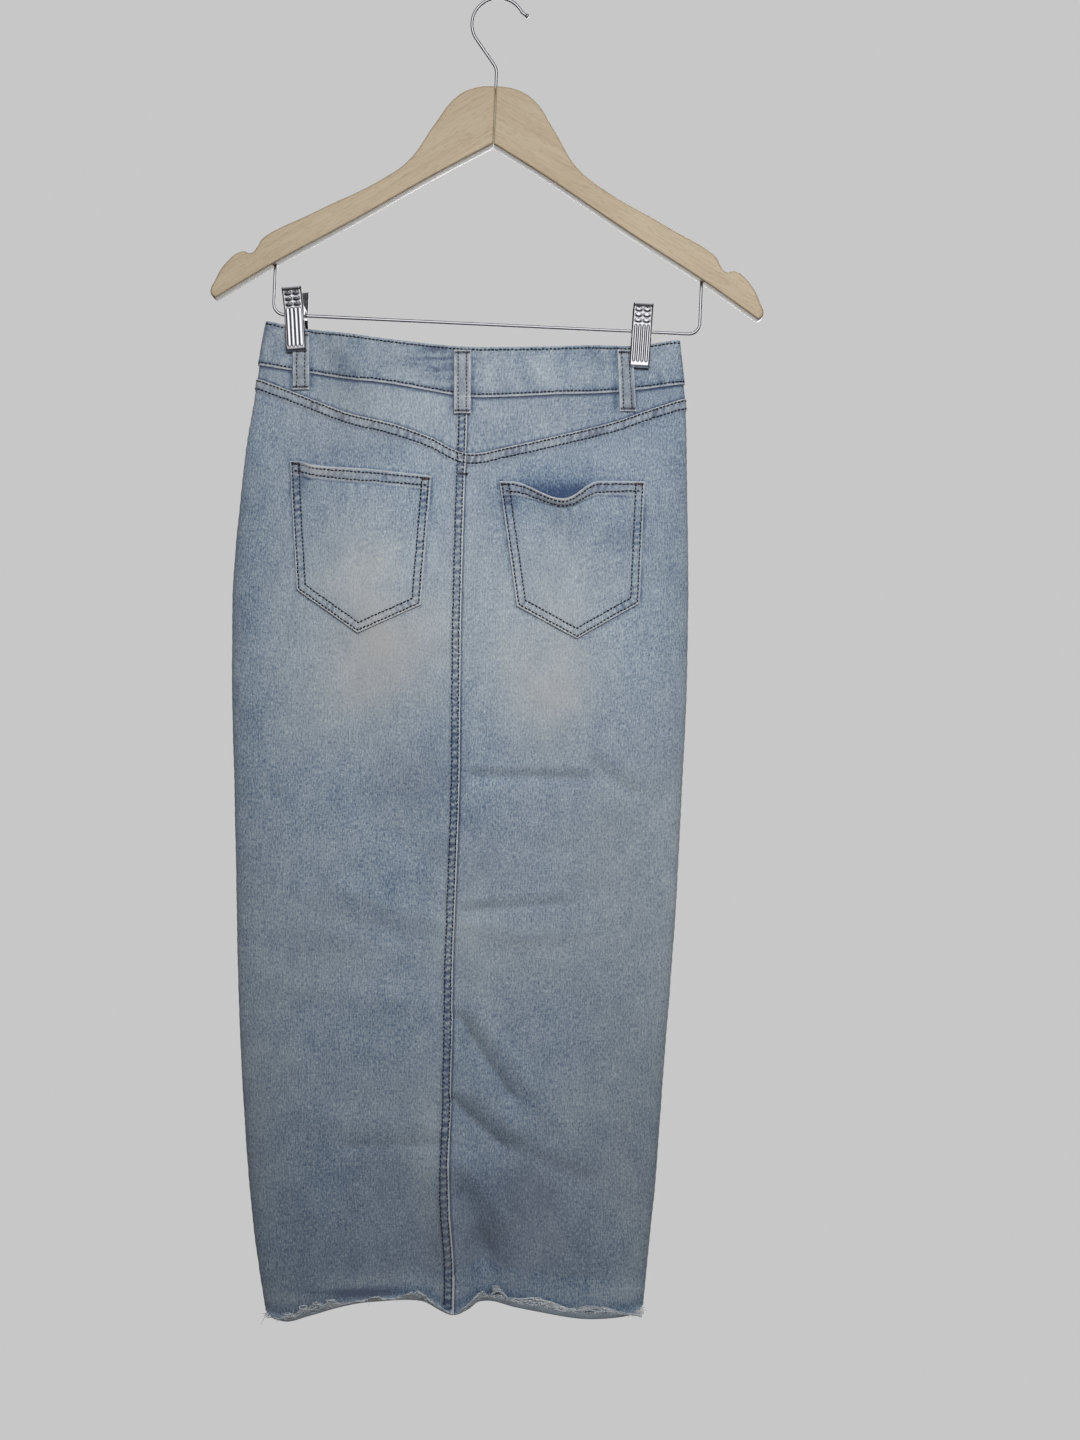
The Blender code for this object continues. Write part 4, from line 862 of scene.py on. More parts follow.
def hem_curl(face, across, run):
    """The raw hem, which curls out and up: points and directions out. Run is 1 at the cut edge."""
    turn = np.radians(along(HEMS[face], "curl", across))
    start = along(HEMS[face], "lowest", across) - HEM_DROP + CURL_RADIUS * np.sin(np.minimum(turn, np.pi / 2))
    base, normal = cloth(face, across, start)
    flat = normal * np.array([1, 1, 0])
    flat /= np.linalg.norm(flat, axis=-1, keepdims=True)
    length = run * (CURL_RADIUS * turn + along(HEMS[face], "run_on", across))
    angle = np.minimum(length / CURL_RADIUS, turn)
    straight = np.maximum(length - CURL_RADIUS * turn, 0)
    outward = CURL_RADIUS * (1 - np.cos(angle)) + straight * np.sin(angle)
    downward = CURL_RADIUS * np.sin(angle) + straight * np.cos(angle)
    up = np.array([0, 0, 1.0])
    points = base + flat * outward[..., None] - up * downward[..., None]
    return points, flat * np.cos(angle)[..., None] + up * np.sin(angle)[..., None], length


def centre_lap(inset):
    return 1 - smooth_step(CENTRE_LAP_WIDTH, CENTRE_LAP_WIDTH + LAP_STEP, inset)


def rope(distance, inset, seed):
    """Ridges of a felled seam between its two rows of stitching."""
    between = smooth_step(0.6, 2.2, inset) * (1 - smooth_step(5.8, 7.6, inset))
    return between * puckers(distance + 0.25 * inset, 5.7, seed)


def seam_relief(inset, distance, seed, look):
    """Height and tints that a felled seam adds beside its folded edge, at inset mm from it."""
    bars = rope(distance, inset, seed)
    last = look.stitching[1]
    between = smooth_step(0.8, 2.2, inset) * (1 - smooth_step(last - 1.0, last + 0.6, inset))
    patches = np.maximum(2.6 * cloud(distance, 0.5 * inset, 12.0, seed + 5), 0)
    unrubbed = look.ladder + (1 - look.ladder) * patches
    grooves = sum(ridge(inset - row, 0.8) for row in look.stitching)
    height = (0.12 + 0.16 * look.ladder) * bars - 0.16 * grooves - 0.75 * rounded(inset, 0.8)
    hollow = np.clip(0.45 - 1.3 * bars, 0, 1) * between
    # Darker along the stitch grooves: dye kept there, and painted shade
    dye = look.kept * hollow * unrubbed - 0.08 * np.maximum(bars, 0) + 0.12 * grooves
    wear = look.fold * ridge(inset - 0.7, 0.7) + (0.10 + 0.22 * look.ladder) * np.maximum(bars, 0)
    return height, dye, wear


Panel = namedtuple("Panel", "sewn inset drop curl")
PanelGrid = namedtuple("PanelGrid", "base out z inset drop above_hem curl")

# How finely the panels are divided. Columns near the centre seam and rows below the top seam are runs of
# start, end and step in mm. Columns beyond, rows down the body and rows round the curled hem are counts
Division = namedtuple("Division", "near beyond drops body curls")
DIVISIONS = {
    "back": Division(((SEAM_GAP / 2, 9.0, 0.62), (9.0, 24.0, 1.6)), 62,
                     ((0.0, 0.8, 0.27), (0.8, 10.4, 0.68), (10.4, 14.0, 1.8)), 318, 15),
    "front": Division(((SEAM_GAP / 2, 4.5, 0.7), (4.5, 27.0, 2.8), (27.0, 40.0, 0.8)), 48,
                      ((0.0, 1.2, 0.4), (1.2, 12.0, 2.7)), 220, 11),
}


def panel_grid(face, side):
    """A panel's inner side as rows and columns of points, and where on the uncurled cloth each one lies."""
    division = DIVISIONS[face]
    drops = stops(*division.drops)
    body = np.linspace(0, 1, division.body + 1)
    curls = np.linspace(0, 1, division.curls + 1)
    insets, shares = panel_columns(stops(*division.near), division.beyond)
    if (side > 0) != (face == "back"):
        insets, shares = insets[::-1], shares[::-1]
    insets, shares = insets[None, :], shares[None, :]
    top = cross_seam(face, "yoke_seam", side, insets, shares, -SEAM_GAP / 2)
    hem_across = across_at(side, insets, shares, HEM_HEIGHT)
    low = hem_curl(face, hem_across, np.zeros_like(insets))[0][..., 2]
    drop = np.concatenate([drops, np.full(len(body) - 1, drops[-1])])[:, None]
    share = np.concatenate([np.zeros(len(drops)), body[1:]])[:, None]
    z = top - drop
    z = z + (low - z) * share
    base, out = cloth(face, across_at(side, insets, shares, z), z)
    curl_base, curl_out, curl_length = hem_curl(face, np.repeat(hem_across, len(curls) - 1, axis=0),
                                                curls[1:, None])
    base, out = np.concatenate([base, curl_base]), np.concatenate([out, curl_out])
    curl_run = np.concatenate([np.zeros(z.shape), curl_length])
    curl_share = np.concatenate([np.zeros(z.shape), np.repeat(curls[1:, None], insets.shape[1], axis=1)])
    z = np.where(curl_run > 0, low - curl_run, base[..., 2])
    inset = np.abs(across_at(side, insets, shares, z)) * half_width(side, z)
    return PanelGrid(base, out, z, inset, top - z, z - low, curl_share)


def panel(name, face, side):
    """One panel from its top seam to the raw hem, with its seams, folds and wash."""
    grid = panel_grid(face, side)
    x, z, inset, drop = grid.base[..., 0], grid.z, grid.inset, grid.drop
    edge = along_to_side(face, side, inset, z)
    dye, warm = wash_and_shade(face, x, z)
    height = np.full(z.shape, PANEL_WALL)
    wear = np.zeros(z.shape)
    lapped = centre_lap(inset) if (face, side) == ("back", -1) else np.zeros(z.shape)
    if face == "back":
        cross_drop = drop * YOKE_SLOPE_COSINE
        cross = 1 - smooth_step(YOKE_LAP_WIDTH, YOKE_LAP_WIDTH + LAP_STEP, cross_drop)
        lapped = np.maximum(lapped, cross)
        more, tint, rub = seam_relief(cross_drop, inset * side, 31 + side, YOKE_SEAM)
        height, dye, wear = height + more, dye + tint + under_pockets(x, z), wear + rub
        warm = warm + 0.2 * ridge(cross_drop - 4.0, 4.0)
    if (face, side) == ("back", -1):
        more, tint, rub = seam_relief(inset - SEAM_GAP / 2, z, 21, CENTRE_SEAM)
        height, dye, wear = height + more, dye + tint, wear + rub
    else:
        # Beside the lapped edge of the seam: a slight hollow, darkened by painted shadow
        seam_shadow = ridge(inset, 1.1)
        height = height - 0.35 * seam_shadow
        dye = dye + 0.55 * seam_shadow
    if face == "front":
        more, tint, rub, step = front_relief(side, inset, z, drop)
        height, dye, wear = height + more, dye + tint, wear + rub
        lapped = np.maximum(lapped, step)
    height = height + (LAPPED_WALL - PANEL_WALL) * lapped
    side_pull = puckers(z, 9.0, 41 + side) * ridge(edge, 4.0)
    height = height + 0.25 * side_pull - 0.5 * ridge(edge, 1.2)
    dye = dye + 0.16 * ridge(edge, 2.2) - 0.12 * side_pull
    wear = wear + 0.18 * ridge(edge - 2.0, 1.6)
    height = height + 0.10 * cloud(x, z, 9, 51) + 0.14 * cloud(x, z, 21, 52)
    # Paler a little above the curled hem, and darker just above it: painted shadow in the hollow of the curl
    dye = dye - 0.12 * ridge(grid.above_hem - 13.0, 8.0) + 0.10 * ridge(grid.above_hem - 3.0, 4.0)
    cut = np.clip((grid.curl - 0.80) / 0.20, 0, 1)
    height = np.maximum(height * (1 - 0.35 * cut), 0.45)
    dye = dye - 0.08 * cut
    wear = wear + 0.3 * cut
    weave = grain(grid.base, (side > 0) != (face == "back"), 400 * side)
    sewn = cut_piece(name, grid.base, grid.out, height, weave, dye, warm, wear)
    return Panel(sewn, inset, drop, grid.curl)


def along_to_side(face, side, inset, z):
    """About how far, along the cloth, a point is from the side seam."""
    half = half_width(side, z)
    depth = along(SECTIONS, face + "_depth", z)
    turn = np.arccos(np.clip(inset / half, 0, 1))
    return np.hypot(half * (1 - np.cos(turn)), depth * np.sin(turn))


def front_relief(side, inset, z, drop):
    """The plain centre seam of the front, and on one side the stitched facing of the fly."""
    height = np.zeros(z.shape)
    dye = np.zeros(z.shape)
    wear = 0.5 * ridge(inset - 0.9, 0.8)
    step = np.zeros(z.shape)
    bars = puckers(z, 8.0, 61) * ridge(inset - 2.5, 2.6)
    height += 0.18 * bars
    dye += 0.22 * ridge(inset - 0.2, 1.1) - 0.16 * bars
    if side < 0:
        reach = fly_reach(drop)
        step = 1 - smooth_step(0, LAP_STEP, inset - reach)
        inner = reach - inset
        for row in FLY_ROWS:
            groove = ridge(inner - (FLY_WIDTH - row), 0.7)
            height -= 0.25 * groove
            # Darker along the stitch grooves: dye kept there, and painted shade
            dye += 0.16 * groove
        wear += 0.5 * ridge(inner - 0.4, 0.8) * (reach > 0)
        pull = puckers(z, 7.0, 62) * smooth_step(0, 2, inner) * (1 - smooth_step(6, 9, inner))
        height += 0.15 * pull
        dye -= 0.14 * pull
    return height, dye, wear, step


def fly_reach(drop):
    """How wide the fly's facing is, drop mm below the waist seam: straight, then a quarter round."""
    down = np.clip((drop - (FLY_LENGTH - FLY_BEND)) / FLY_BEND, 0, 1)
    reach = FLY_WIDTH - FLY_BEND + FLY_BEND * np.sqrt(np.clip(1 - down ** 2, 0, 1))
    return np.where(drop < FLY_LENGTH, reach, -20.0)


def sew_panels():
    made = {}
    for face in ("back", "front"):
        for word, side in (("left", -1), ("right", 1)):
            name = face + "_panel_" + word
            made[name] = panel(name, face, side)
    return made


# Yokes and waistband

def yoke(name, side):
    """The shaped piece between the waistband and a back panel."""
    insets, shares = panel_columns(stops((SEAM_GAP / 2, 9.0, 0.62), (9.0, 24.0, 1.5)), 92)
    if side < 0:
        insets, shares = insets[::-1], shares[::-1]
    insets, shares = insets[None, :], shares[None, :]
    high = cross_seam("back", "band_seam", side, insets, shares, -SEAM_GAP / 2)
    low = cross_seam("back", "yoke_seam", side, insets, shares, SEAM_GAP / 2)
    z = high + (low - high) * np.linspace(0, 1, 34)[:, None]
    base, out = cloth("back", across_at(side, insets, shares, z), z)
    inset = np.abs(across_at(side, insets, shares, z)) * half_width(side, z)
    edge = along_to_side("back", side, inset, z)
    dye, warm = wash_and_shade("back", base[..., 0], z)
    height = PANEL_WALL + 0.10 * cloud(base[..., 0], z, 9, 71)
    wear = np.zeros(z.shape)
    if side < 0:
        more, tint, rub = seam_relief(inset - SEAM_GAP / 2, z, 22, CENTRE_SEAM_ON_YOKE)
        height, dye, wear = height + more, dye + tint, wear + rub
        height = height + (LAPPED_WALL - PANEL_WALL) * centre_lap(inset)
    else:
        # Painted shadow beside the lapped edge of the centre seam
        height = height - 0.35 * ridge(inset, 1.3)
        dye = dye + 0.5 * ridge(inset, 1.3)
    under_band, over_panel = high - z, z - low
    # Painted shadow lines under the waistband's edge and above the panel's lapped edge
    dye = dye + 0.65 * ridge(under_band, 1.4) + 0.42 * ridge(over_panel, 1.3)
    pull = puckers(inset * side, 6.0, 72 + side) * ridge(over_panel - 2.5, 2.6)
    height = height + 0.16 * pull - 0.4 * ridge(edge, 1.2)
    dye = dye - 0.14 * pull + 0.16 * ridge(edge, 2.2)
    sewn = cut_piece(name, base, out, height, grain(base, side < 0, 400 * side + 37), dye, warm, wear)
    return Panel(sewn, inset, under_band, None)


def even_across(count):
    """From 0 at the centre to 1 at the side seam, evenly along the cloth at the waist."""
    return np.sin(np.concatenate([[0], panel_columns([0.0], count, 12.0)[1][1:]]) * np.pi / 2)


def band(name, face, across, lift=0.0):
    """A piece of the waistband, folded over at the top. Across runs to the right, as seen from outside."""
    across = across[None, :]
    share = stops((0, 1.2, 0.24), (1.2, 6.0, 0.6), (6.0, 32.0, 1.35), (32.0, 36.8, 0.6), (36.8, 38.0, 0.24))
    share = share[:, None] / 38.0
    high = along(SEAM_LINES[face], "waist", across)
    low = along(SEAM_LINES[face], "band_seam", across) + SEAM_GAP / 2
    z = high + (low - high) * share
    base, out = cloth(face, across, z)
    raised = lift * (1 - smooth_step(OVERLAP_LIFT_HELD_TO, OVERLAP_LIFT_GONE_BY, -across)) + 0 * z
    x = base[..., 0]
    from_top, from_low = high - z, z - low
    side = np.sign(across)
    edge = along_to_side(face, side, np.abs(across) * half_width(side, z), z)
    dye, warm = wash_and_shade(face, x, z)
    pull = puckers(x, 7.0, 81) * ridge(from_low - 4.5, 3.0) + puckers(x, 8.0, 82) * ridge(from_top - 4.5, 2.4)
    grooves = ridge(from_top - BAND_TOP_ROW, 0.7) + ridge(from_low - BAND_LOW_ROW, 0.7)
    height = WAISTBAND_WALL - 0.9 * rounded(from_top, 1.1) - 0.7 * rounded(from_low, 0.8) - 0.16 * grooves
    height = height + 0.14 * pull + 0.10 * cloud(x, z, 8, 83) - 0.35 * ridge(edge, 1.2)
    near_loop = ridge(x + 44.0, 26.0) * (face == "back")
    worked = 0.25 * np.maximum(cloud(x, z, 30, 85), 0) + near_loop
    whisker = np.maximum(cloud(x / 9, z, 2.4, 84), 0) * worked
    # Darker along the stitch grooves: dye kept there, and painted shade
    dye = dye + 0.06 * grooves - 0.12 * pull + 0.55 * whisker + 0.2 * ridge(edge, 1.6)
    dye = dye + 0.16 * ridge(from_low - 3.6, 1.4)
    dye = dye + 0.10 * cloud(x, 0.5 * z, 6, 86) + 0.07 * cloud(x, z, 15, 87)
    wear = 0.1 * ridge(from_top - 0.5, 0.8) + 0.62 * ridge(from_low - 0.7, 0.6)
    ends = np.full(z.shape, 99.0)
    if name == "waistband_front_left":
        ends = np.abs(x - x[:, :1])
    if name == "waistband_front_right":
        ends = np.abs(x - x[:, -1:])
    height = height - 0.7 * rounded(ends, 0.8) - 0.2 * ridge(ends - 2.0, 0.6)
    wear = wear + 0.7 * ridge(ends - 0.3, 0.8)
    inner = raised + 0.9 * rounded(from_top, 1.1) + 0 * z
    sewn = cut_piece(name, base + out * inner[..., None], out, raised + height - inner,
                     grain(base, shift=900.0), dye, warm, wear)
    return Panel(sewn, ends, from_top, from_low)


def sew_waistband():
    fine = even_across(118)
    lap_end = WAIST_OVERLAP / 2 / half_width(1, BAND_HEIGHT)
    back = np.concatenate([-fine[:0:-1], fine])
    lap = stops((-lap_end, -lap_end + 0.012, 0.002), (-lap_end + 0.012, 0.0, 0.008))
    coarse = even_across(84)
    right = np.concatenate([coarse[:0:-1], -lap[::-1]])
    left = np.concatenate([-lap, -coarse[1:]])
    return {"waistband_back": band("waistband_back", "back", back),
            "waistband_front_right": band("waistband_front_right", "front", right),
            "waistband_front_left": band("waistband_front_left", "front", left, WAISTBAND_WALL + LAID_ON_GAP)}


# Pockets and belt loops

def laid(face, x, z, lift):
    """Points above the cloth's inside, and the directions out there."""
    base, out = cloth(face, across_of(x, z), z)
    return base + out * np.asarray(lift)[..., None], out


def pocket_plane(pocket, u, v):
    """Where shares across and down a pocket lie, and how far its mouth is drawn open there, from 0 to 1."""
    top_left, top_right = np.array(pocket.top_left), np.array(pocket.top_right)
    foot_left, foot_right = np.array(pocket.foot_left), np.array(pocket.foot_right)
    middle = (pocket.point[0] - foot_left[0]) / (foot_right[0] - foot_left[0])
    share = np.where(u <= 0.5, u * 2 * middle, middle + (u - 0.5) * 2 * (1 - middle))
    left = top_left + (foot_left - top_left) * v[..., None]
    right = top_right + (foot_right - top_right) * v[..., None]
    place = left + (right - left) * share[..., None]
    peak = 1 - np.abs(share - middle) / np.where(share < middle, middle, 1 - middle)
    drop = (foot_left[1] + (foot_right[1] - foot_left[1]) * middle - pocket.point[1]) * peak
    mouth = smooth_step(*pocket.fall, share) * (1 - smooth_step(*pocket.rise, share))
    opened = mouth * (1 - (1 - MOUTH_LIP_SHARE) * smooth_step(0.0, MOUTH_DEPTH, v)
                      - MOUTH_LIP_SHARE * smooth_step(0.0, MOUTH_LIP, v))
    return place[..., 0], place[..., 1] - drop * v, opened


def pocket_edges(pocket):
    corners = (pocket.top_left, pocket.foot_left, pocket.point, pocket.foot_right, pocket.top_right)
    return [(np.array(first), np.array(second)) for first, second in zip(corners, corners[1:] + corners[:1])]


def inset_from(edge, x, z):
    """Distance inwards from an edge whose inner side is on its left."""
    first, second = edge
    run = (second - first) / np.linalg.norm(second - first)
    return run[0] * (z - first[1]) - run[1] * (x - first[0])


def inner_corner(edges, depths):
    """Where two edges meet once each is moved inwards."""
    directions, sides = [], []
    for (first, second), depth in zip(edges, depths):
        run = (second - first) / np.linalg.norm(second - first)
        inwards = np.array([-run[1], run[0]])
        directions.append(inwards)
        sides.append(inwards @ first + depth)
    return np.linalg.solve(np.array(directions), np.array(sides))


def filled_in(corners, step=0.8):
    """Points along straight runs between corners."""
    points = []
    for first, second in zip(corners, corners[1:]):
        count = max(2, int(np.linalg.norm(second - first) / step))
        points += list(first + (second - first) * np.linspace(0, 1, count, endpoint=False)[:, None])
    return np.array(points + [corners[-1]])


def pocket_lift(pocket, opened):
    return PANEL_WALL + LAID_ON_GAP + pocket.gape * opened


def pocket_shares():
    """Shares across and down a pocket for its columns and rows, which lie closer beside its edges."""
    sides = stops((0, 0.012, 0.002), (0.012, 0.09, 0.0065))
    mouth = stops((0, 0.014, 0.0028), (0.014, 0.14, 0.0063))
    foot = stops((0, 0.012, 0.003), (0.012, 0.10, 0.0065))
    u = np.concatenate([sides, np.linspace(0.09, 0.91, 78)[1:-1], 1 - sides[::-1]])
    v = np.concatenate([mouth, np.linspace(0.14, 0.90, 66)[1:-1], 1 - foot[::-1]])
    return np.broadcast_arrays(u[None, :], v[:, None])


def curled_corner(pocket, x, hem_inset):
    """Where the mouth's hem rolls out by the pocket's left corner, and the crease under it, in painted shade.
    """
    from_corner = x - pocket.top_left[0]
    curled = smooth_step(5.0, 9.0, from_corner) * (1 - smooth_step(12.0, 30.0, from_corner))
    shaded_tuck = ridge(np.hypot(from_corner - 16.5, hem_inset - 4.0) - 9.2, 1.0)
    shaded_tuck = shaded_tuck * (1 - smooth_step(14.0, 19.0, from_corner)) * smooth_step(0.0, 1.5, hem_inset)
    return curled, shaded_tuck


def sew_pocket(pocket):
    """Five-sided patch with a folded hem at its mouth and turned-in edges under two rows of stitching."""
    x, z, opened = pocket_plane(pocket, *pocket_shares())
    edges = pocket_edges(pocket)
    insets = [inset_from(edge, x, z) for edge in edges]
    side_inset = np.minimum.reduce(insets[:4])
    hem_inset = insets[4]
    base, out = laid("back", x, z - pocket.dip * opened, pocket_lift(pocket, opened))
    runs = [x * (edge[1][0] - edge[0][0]) + z * (edge[1][1] - edge[0][1]) for edge in edges[:4]]
    runs = [run / np.linalg.norm(edge[1] - edge[0]) for run, edge in zip(runs, edges)]
    run = np.choose(np.argmin(insets[:4], axis=0), runs)
    seed = 91 + len(pocket.name)
    edge_height, edge_darkening, edge_wear = seam_relief(side_inset, run, seed, POCKET_EDGE)
    hem_height, hem_darkening, hem_wear = seam_relief(hem_inset, x, 95, POCKET_MOUTH)
    hem = 1 - smooth_step(POCKET_HEM - 0.3, POCKET_HEM + 0.9, hem_inset)
    height = POCKET_WALL + 0.35 * hem + edge_height + hem_height + 0.10 * cloud(x, z, 10, 96)
    dye, warm = wash_and_shade("back", x, z)
    dye = dye + edge_darkening * (1 - 0.7 * hem) + 0.8 * hem_darkening + 0.07 * hem
    # A painted shadow under the hem's lower edge, and a patch of painted shadow by the left side under the
    # hem
    dye = dye + 0.40 * ridge(hem_inset - POCKET_HEM - 1.0, 0.9) * (0.55 + 0.45 * cloud(x, z, 14, 98))
    from_side = inset_from(edges[0], x, z)
    dye = dye + 0.30 * np.exp(-((from_side - 6.0) / 7.0) ** 2 - ((hem_inset - POCKET_HEM - 5.0) / 7.0) ** 2)
    if pocket.name == "pocket_left":
        curled, shaded_tuck = curled_corner(pocket, x, hem_inset)
        # The crease under the curled corner: a dent, darkened by painted shade
        height = height + 1.3 * curled * ridge(hem_inset - 1.4, 2.2) - 0.6 * shaded_tuck
        dye = dye + 0.75 * shaded_tuck
    wear = np.maximum(edge_wear, hem_wear) + 0.35 * ridge(hem_inset - POCKET_HEM + 0.5, 0.7)
    warm = warm + 0.5 * opened * ridge(hem_inset, 9.0) + 0.12 * hem
    cut_piece(pocket.name, base, out, np.maximum(height, 0.35), grain(base, shift=1300.0), dye, warm, wear)
    return pocket_lines(pocket, edges)


def pocket_lines(pocket, edges):
    """Where a pocket's rows of stitching run: along its edges, and under its mouth."""
    lines = []
    for depth in POCKET_ROWS:
        corners = [inner_corner((edges[4], edges[0]), (1.2, depth))]
        corners += [inner_corner(edges[first:first + 2], (depth, depth)) for first in range(3)]
        corners.append(inner_corner(edges[3:5], (depth, 1.2)))
        line = filled_in(corners)
        on_hem = 1 - smooth_step(POCKET_HEM - 0.3, POCKET_HEM + 0.9, inset_from(edges[4], *line.T))
        lift = pocket_lift(pocket, 0) + POCKET_WALL - 0.2 + 0.35 * on_hem
        lines.append(laid("back", line[:, 0], line[:, 1], lift))
    for depth in POCKET_HEM_ROWS:
        share = np.linspace(0.02, 0.98, 140)
        height_here = 100.0
        x, z, opened = pocket_plane(pocket, share, np.full(share.shape, depth / height_here))
        for _ in range(3):
            off = inset_from(edges[4], x, z) - depth
            height_here = height_here * (1 + off.mean() / depth)
            x, z, opened = pocket_plane(pocket, share, np.full(share.shape, depth / height_here))
        lift = pocket_lift(pocket, opened) + POCKET_WALL + 0.12
        lines.append(laid("back", x, z - pocket.dip * opened, lift))
    return lines


def loop_place(loop, u, v):
    """Points under a belt loop, which stands off the waistband between its sewn ends. U is -1 to 1 across."""
    lines = SEAM_LINES[loop.face]
    middle = loop_across(loop)
    top = along(lines, "waist", middle) - LOOP_TOP_INSET
    seam = along(lines, "band_seam", middle)
    bottom = seam - loop.reach_below
    seam_share = (top - seam) / (top - bottom)
    z = top + (bottom - top) * v
    x = loop.x_top + (loop.x_low - loop.x_top) * v + u * LOOP_WIDTH / 2
    on_band = 1 - smooth_step(seam_share + LOOP_STEP_DOWN[0], seam_share + LOOP_STEP_DOWN[1], v)
    lift = PANEL_WALL + (WAISTBAND_WALL - PANEL_WALL) * on_band + LAID_ON_GAP
    if loop.name == "belt_loop_back_centre":
        lift = lift + (LAPPED_WALL - PANEL_WALL) * (1 - on_band)
    lift = lift + loop.bow * np.sin(np.pi * np.minimum(v / seam_share, 1)) ** 2
    return x, z, lift, top - bottom


def sew_belt_loop(loop):
    """A strip with its edges folded under and two rows of stitching."""
    u = np.concatenate([stops((-1, -0.88, 0.03), (-0.88, 0.88, 0.07)), stops((0.88, 1, 0.03))[1:]])
    if loop.face == "front":
        u = u[::-1]
    v = stops((0, 0.02, 0.005), (0.02, 0.98, 0.016), (0.98, 1.0, 0.005))[:, None]
    u, v = np.broadcast_arrays(u[None, :], v)
    x, z, lift, length = loop_place(loop, u, v)
    base, out = laid(loop.face, x, z, lift)
    side_inset = (1 - np.abs(u)) * LOOP_WIDTH / 2
    end_inset = np.minimum(v, 1 - v) * length
    grooves = ridge(np.abs(u) * LOOP_WIDTH / 2 - LOOP_ROW, 0.6)
    tacked = ridge(end_inset - LOOP_BARTACK_INSET, 1.5)
    height = LOOP_WALL - 0.9 * rounded(side_inset, 1.2) - 0.5 * rounded(end_inset, 0.7) - 0.24 * grooves
    height = height - 0.30 * tacked + 0.10 * puckers(z, 6.0, 101)
    dye, warm = wash_and_shade(loop.face, x, z)
    # The loop is cleared of the painted shadow beside it; stitch grooves get dye and painted shade
    kept = LOOP_SHADE * ridge(np.abs(u) * LOOP_WIDTH / 2 - LOOP_WIDTH / 2 - 0.6, 2.4)
    dye = dye - kept + 0.05 + 0.14 * grooves + 0.15 * tacked + 0.20 * cloud(x, z, 4, 102)
    wear = 0.5 * ridge(side_inset - 0.8, 0.6) + 0.5 * ridge(end_inset - 0.5, 0.6)
    height = np.maximum(height, 0.5)
    cut_piece(loop.name, base, out, height, grain(base, shift=1700.0), dye, warm + 0.25, wear)
    lines = []
    for at in (-LOOP_ROW, LOOP_ROW):
        v = np.linspace(0.015, 0.985, 90)
        x, z, lift, _ = loop_place(loop, np.full(v.shape, at * 2 / LOOP_WIDTH), v)
        lines.append(laid(loop.face, x, z, lift + LOOP_WALL - 0.18))
    tacks = []
    for v_at in (LOOP_BARTACK_INSET / length, 1 - LOOP_BARTACK_INSET / length):
        x, z, lift, _ = loop_place(loop, np.array([0.0]), np.array([v_at]))
        tacks.append((loop.face, x[0], z[0], lift[0] + LOOP_WALL - 0.18, LOOP_WIDTH - 1.8))
    return lines, tacks


def bartacks(name, tacks, finish, seed):
    """Short level bars of dense zigzag sewing. Each is a face, a place, a lift and a length."""
    rng = np.random.default_rng(seed)
    steps = 48
    paths, normals = [], []
    for face, x, z, lift, length in tacks:
        sides = np.where(np.arange(steps) % 2, 0.5, -0.5)
        zigzag = sides * BARTACK_WIDTH * (1 + rng.normal(0, 0.1, steps))
        forward = np.linspace(-0.5, 0.5, steps) * length + rng.normal(0, 0.05, steps)
        points, out = laid(face, x + forward, z + zigzag, np.full(steps, lift + 0.25))
        paths.append(points)
        normals.append(out)
    threads(name, np.array(paths), np.array(normals), np.full((len(tacks), steps), 0.27), finish, "thread",
            rng.uniform(0, 1, len(tacks)))


# Rows of stitching and the frayed hem

def line_at(sewn, field, value, by_row=True):
    """The line on a piece's outer side where a field has that value, and the directions out along it."""
    outer, out = sewn.outer, sewn.out
    outer, out, field = outer[:len(field)], out[:len(field)], np.array(field)
    if not by_row:
        outer, out, field = outer.transpose(1, 0, 2), out.transpose(1, 0, 2), field.T
    if field[0, 0] > field[0, -1]:
        outer, out, field = outer[:, ::-1], out[:, ::-1], field[:, ::-1]
    place = (field < value).sum(axis=1).clip(1, field.shape[1] - 1)
    pick = np.arange(len(field))
    low, high = field[pick, place - 1], field[pick, place]
    share = ((value - low) / np.where(high == low, 1, high - low)).clip(0, 1)[:, None]
    return (outer[pick, place - 1] * (1 - share) + outer[pick, place] * share,
            out[pick, place - 1] * (1 - share) + out[pick, place] * share)


def fly_row(depth):
    """A row of stitching on the fly's facing: down beside the seam, then round in a quarter to its foot."""
    turn = np.linspace(0, np.pi / 2, 40)[1:]
    radius = FLY_BEND - FLY_WIDTH + depth
    straight = FLY_LENGTH - FLY_BEND
    drop = np.concatenate([np.linspace(1.0, straight, 110), straight + radius * np.sin(turn)])
    reach = np.concatenate([np.full(110, depth), FLY_WIDTH - FLY_BEND + radius * np.cos(turn)])
    z = along(SEAM_LINES["front"], "yoke_seam", -reach / PANEL_TYPICAL_WIDTH) - drop
    return laid("front", along(SECTIONS, "seam", z) - reach, z, np.full(z.shape, LAPPED_WALL - 0.2))


